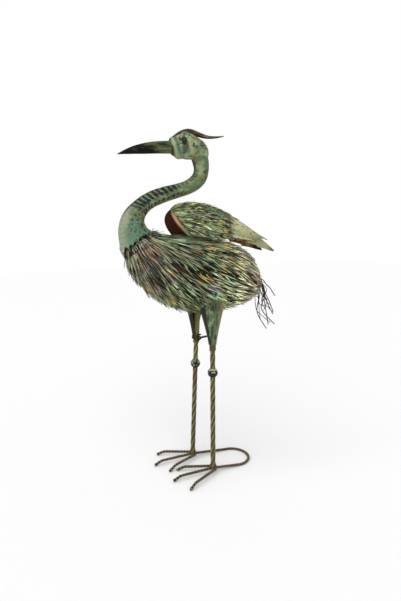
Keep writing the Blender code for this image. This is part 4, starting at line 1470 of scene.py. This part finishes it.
# %% Brace and tail wires
BRACE_WIRE = 0.0050
BRACE_LOW = 0.015
BRACE_HIGH = 0.042
BRACE_BEND = 0.012
BRACE_STRAND = 0.0012   # how far the brace's two strands stand out
BRACE_TWIST = 600       # radians per metre
BINDING_TURNS = 3.5
BINDING_HEIGHT = 0.016
BINDING_SLACK = 0.0035
WIRE = 0.0024
POCKET_DEPTH = 0.022
TAIL_WIRES = [
    ((-0.006, 0.009), [(0.198, -0.013, 0.026), (0.206, -0.017, 0.019), (0.223, -0.021, -0.007)]),
    ((0.004, 0.010), [(0.198, 0.006, 0.022), (0.205, 0.008, 0.008), (0.202, 0.009, -0.014)]),
    ((-0.004, 0.002), [(0.201, -0.006, -0.002), (0.213, -0.008, -0.026), (0.226, -0.010, -0.058)]),
    ((0.010, 0.003), [(0.205, 0.014, 0.005), (0.222, 0.018, -0.032), (0.246, 0.022, -0.071)]),
    ((0.001, -0.004), [(0.197, 0.001, -0.005), (0.206, 0.001, -0.047), (0.218, 0.003, -0.097)]),
    ((-0.008, -0.005), [(0.190, -0.015, -0.007), (0.180, -0.018, -0.044), (0.224, -0.020, -0.091)]),
    ((0.007, -0.008), [(0.190, 0.010, -0.007), (0.184, 0.012, -0.058), (0.220, 0.015, -0.112)]),
]
FINE_WIRES = [
    [(0.172, -0.012, 0.010), (0.176, -0.014, -0.029), (0.201, -0.015, -0.037), (0.210, -0.014, -0.046)],
    [(0.170, 0.004, 0.008), (0.174, 0.003, -0.044), (0.192, 0.002, -0.065), (0.224, 0.000, -0.091)],
    [(0.176, -0.002, 0.005), (0.182, -0.004, -0.058), (0.185, -0.005, -0.075), (0.196, -0.006, -0.092)],
    [(0.180, 0.008, 0.012), (0.187, 0.008, 0.008), (0.198, 0.008, -0.012), (0.198, 0.008, -0.036)],
    [(0.165, -0.006, 0.004), (0.166, -0.007, -0.004), (0.175, -0.008, -0.013), (0.170, -0.009, -0.036)],
    [(0.185, -0.010, 0.030), (0.200, -0.012, 0.012), (0.194, -0.010, -0.010), (0.212, -0.010, -0.034)],
    [(0.188, 0.005, 0.030), (0.203, 0.002, 0.002), (0.190, 0.000, -0.018), (0.202, 0.000, -0.046)],
    [(0.182, 0.000, 0.020), (0.192, -0.004, -0.006), (0.206, -0.006, -0.020), (0.196, -0.004, -0.052)],
]


def wire_finish():
    """Dark brown iron with a little rust."""
    finish = Finish("iron wire", roughness=0.6)
    rust = ((0.13, 0.05, 0.022), 0.010, 121.0, 0.54, 0.66)
    colour = finish.patches((0.030, 0.020, 0.015), [rust])
    finish.feed("Base Color", colour)
    return finish.material


iron = wire_finish()


def rump():
    """Centre of the wires' pocket and the direction that it faces."""
    centre = body_section(0.97)[0]
    ahead = body_section(1.0)[0] - body_section(0.8)[0]
    return centre, ahead.normalized()


def smooth_bar(_distance, _angle):
    """No relief."""
    return 0.0


def strands(distance, angle):
    """Two wires twisted together."""
    return BRACE_STRAND * math.cos(2 * angle - distance * BRACE_TWIST)


def wire_piece(name, route, thickness, stands_for=()):
    """One wire along a smooth route."""
    steps = 36
    points = [smooth_line(route, step / steps) for step in range(steps + 1)]
    bm = bar_along(points, thickness, smooth_bar, sides=8, aside=(0, 1, 0))
    make_object(name, bm, iron, stands_for)


centre, facing = rump()
upward = Vector((0, 1, 0)).cross(facing).normalized()
if upward.z < 0:
    upward.negate()
for order, ((across, up), passes) in enumerate(TAIL_WIRES, 1):
    start = centre - facing * (POCKET_DEPTH - WIRE) + Vector((0, across, 0)) + upward * up
    mouth = start + facing * (POCKET_DEPTH + 3 * WIRE)
    route = [start, mouth] + [hip + Vector(p) for p in passes]
    wire_piece(f"loose_wire_{order}", route, WIRE * 1.15, [f"tail_wire_{order}"])
for order, passes in enumerate(FINE_WIRES, 1):
    wire_piece(f"fine_wire_{order}", [hip + Vector(p) for p in passes], WIRE * 0.8)


def brace_end(leg, height):
    """Where the brace meets a leg tube."""
    point = leg.ankle + leg.direction * leg.along(SOCKET_HEIGHT + height)
    return point - Vector((0, leg.side * (tube_radius + BRACE_WIRE / 2 + GAP), 0))


low_end, high_end = brace_end(right, BRACE_LOW), brace_end(left, BRACE_HIGH)
bend = (low_end + high_end) / 2 + Vector((BRACE_BEND, 0, 0))
corner = rounded_corner(low_end, bend, high_end, 4 * BRACE_WIRE)
brace_line = even_points([low_end] + corner + [high_end], 0.0008)
bm = bar_along(brace_line, BRACE_WIRE, strands, sides=12)
make_object("twisted_brace", bm, iron, ["leg_brace"], sharp=70)

coil_steps = 90
coil = []
for step in range(coil_steps + 1):
    t = step / coil_steps
    angle = 2 * math.pi * BINDING_TURNS * t
    slack = BINDING_SLACK * abs(math.sin(2.3 * angle)) * max(0, math.sin(angle))
    loose = tube_radius + BRACE_WIRE / 2 + slack
    up = right.along(SOCKET_HEIGHT + BRACE_LOW)
    up += BINDING_HEIGHT * (t - 0.5) + BINDING_HEIGHT / 4 * math.sin(1.7 * angle)
    coil.append(right.turn @ Vector((loose * math.sin(angle), -loose * math.cos(angle), up)))
bm = bar_along(coil, WIRE * 1.3, smooth_bar, sides=8, aside=right.direction)
make_object("brace_binding", bm, iron, ())

# %% [markdown]
# ## Light and camera
# The bird stands on a plain white floor in soft light from all round, a little stronger from the
# upper left, and is seen from its left front, slightly from above.

# %% Floor, light and camera
bm = bmesh.new()
bmesh.ops.create_grid(bm, x_segments=1, y_segments=1, size=6)
floor_mesh = bpy.data.meshes.new("floor")
bm.to_mesh(floor_mesh)
bm.free()
floor = bpy.data.objects.new("floor", floor_mesh)
bpy.context.scene.collection.objects.link(floor)
floor_paint = Finish("white floor", roughness=0.9)
floor_paint.shader.inputs["Base Color"].default_value = (0.93, 0.93, 0.93, 1)
floor_mesh.materials.append(floor_paint.material)

SKY = 0.55              # light from all round
BACKDROP = 1.0          # how bright the white behind the bird looks

world = bpy.data.worlds.new("studio")
world.use_nodes = True
seen = add_node(world.node_tree, "ShaderNodeLightPath", {}, {}, "Is Camera Ray")
world.node_tree.links.new(
    (seen * (BACKDROP - SKY) + SKY).socket, world.node_tree.nodes["Background"].inputs["Strength"]
)
world.node_tree.nodes["Background"].inputs["Color"].default_value = (1, 1, 1, 1)
bpy.context.scene.world = world
bpy.context.scene.view_settings.view_transform = "Standard"


def soft_sun(name, direction, strength, softness):
    """Even light from one side. softness is the angle that the sun seems to cover."""
    lamp = bpy.data.lights.new(name, "SUN")
    lamp.energy = strength
    lamp.angle = math.radians(softness)
    lamp_object = bpy.data.objects.new(name, lamp)
    lamp_object.rotation_euler = Vector(direction).to_track_quat("-Z", "Y").to_euler()
    bpy.context.scene.collection.objects.link(lamp_object)
    return lamp_object


key_light = soft_sun("key light", (0.75, 0.55, -1.05), 2.2, 75)

# %% The camera
CAMERA_SCALE = 0.94 / 0.947
CAMERA_AZIMUTH = math.radians(-24.68)
CAMERA_DISTANCE = 1.2084 * CAMERA_SCALE
CAMERA_HEIGHT = 0.699 * CAMERA_SCALE
CAMERA_PITCH = math.radians(9.57)
CAMERA_YAW = math.radians(0.29)
SENSOR = 36.0
LENS = 26.36

swing_sin, swing_cos = math.sin(CAMERA_AZIMUTH), math.cos(CAMERA_AZIMUTH)
eye_place = bird_place + Vector((0, 0, CAMERA_HEIGHT))
eye_place += Vector((swing_sin, -swing_cos, 0)) * CAMERA_DISTANCE
level_ahead = Vector((-swing_sin, swing_cos, 0))
level_right = Vector((swing_cos, swing_sin, 0))
ahead = level_ahead * math.cos(CAMERA_YAW) - level_right * math.sin(CAMERA_YAW)
rightward = level_right * math.cos(CAMERA_YAW) + level_ahead * math.sin(CAMERA_YAW)
view = ahead * math.cos(CAMERA_PITCH) - Vector((0, 0, 1)) * math.sin(CAMERA_PITCH)
upward = rightward.cross(view)

camera = bpy.data.cameras.new("camera")
camera.sensor_fit = "VERTICAL"
camera.sensor_height = SENSOR
camera.lens = LENS
camera.clip_start = 0.01
camera_object = bpy.data.objects.new("camera", camera)
turn = Matrix((rightward, upward, -view)).transposed().to_4x4()
camera_object.matrix_world = Matrix.Translation(eye_place) @ turn
bpy.context.scene.collection.objects.link(camera_object)
bpy.context.scene.camera = camera_object
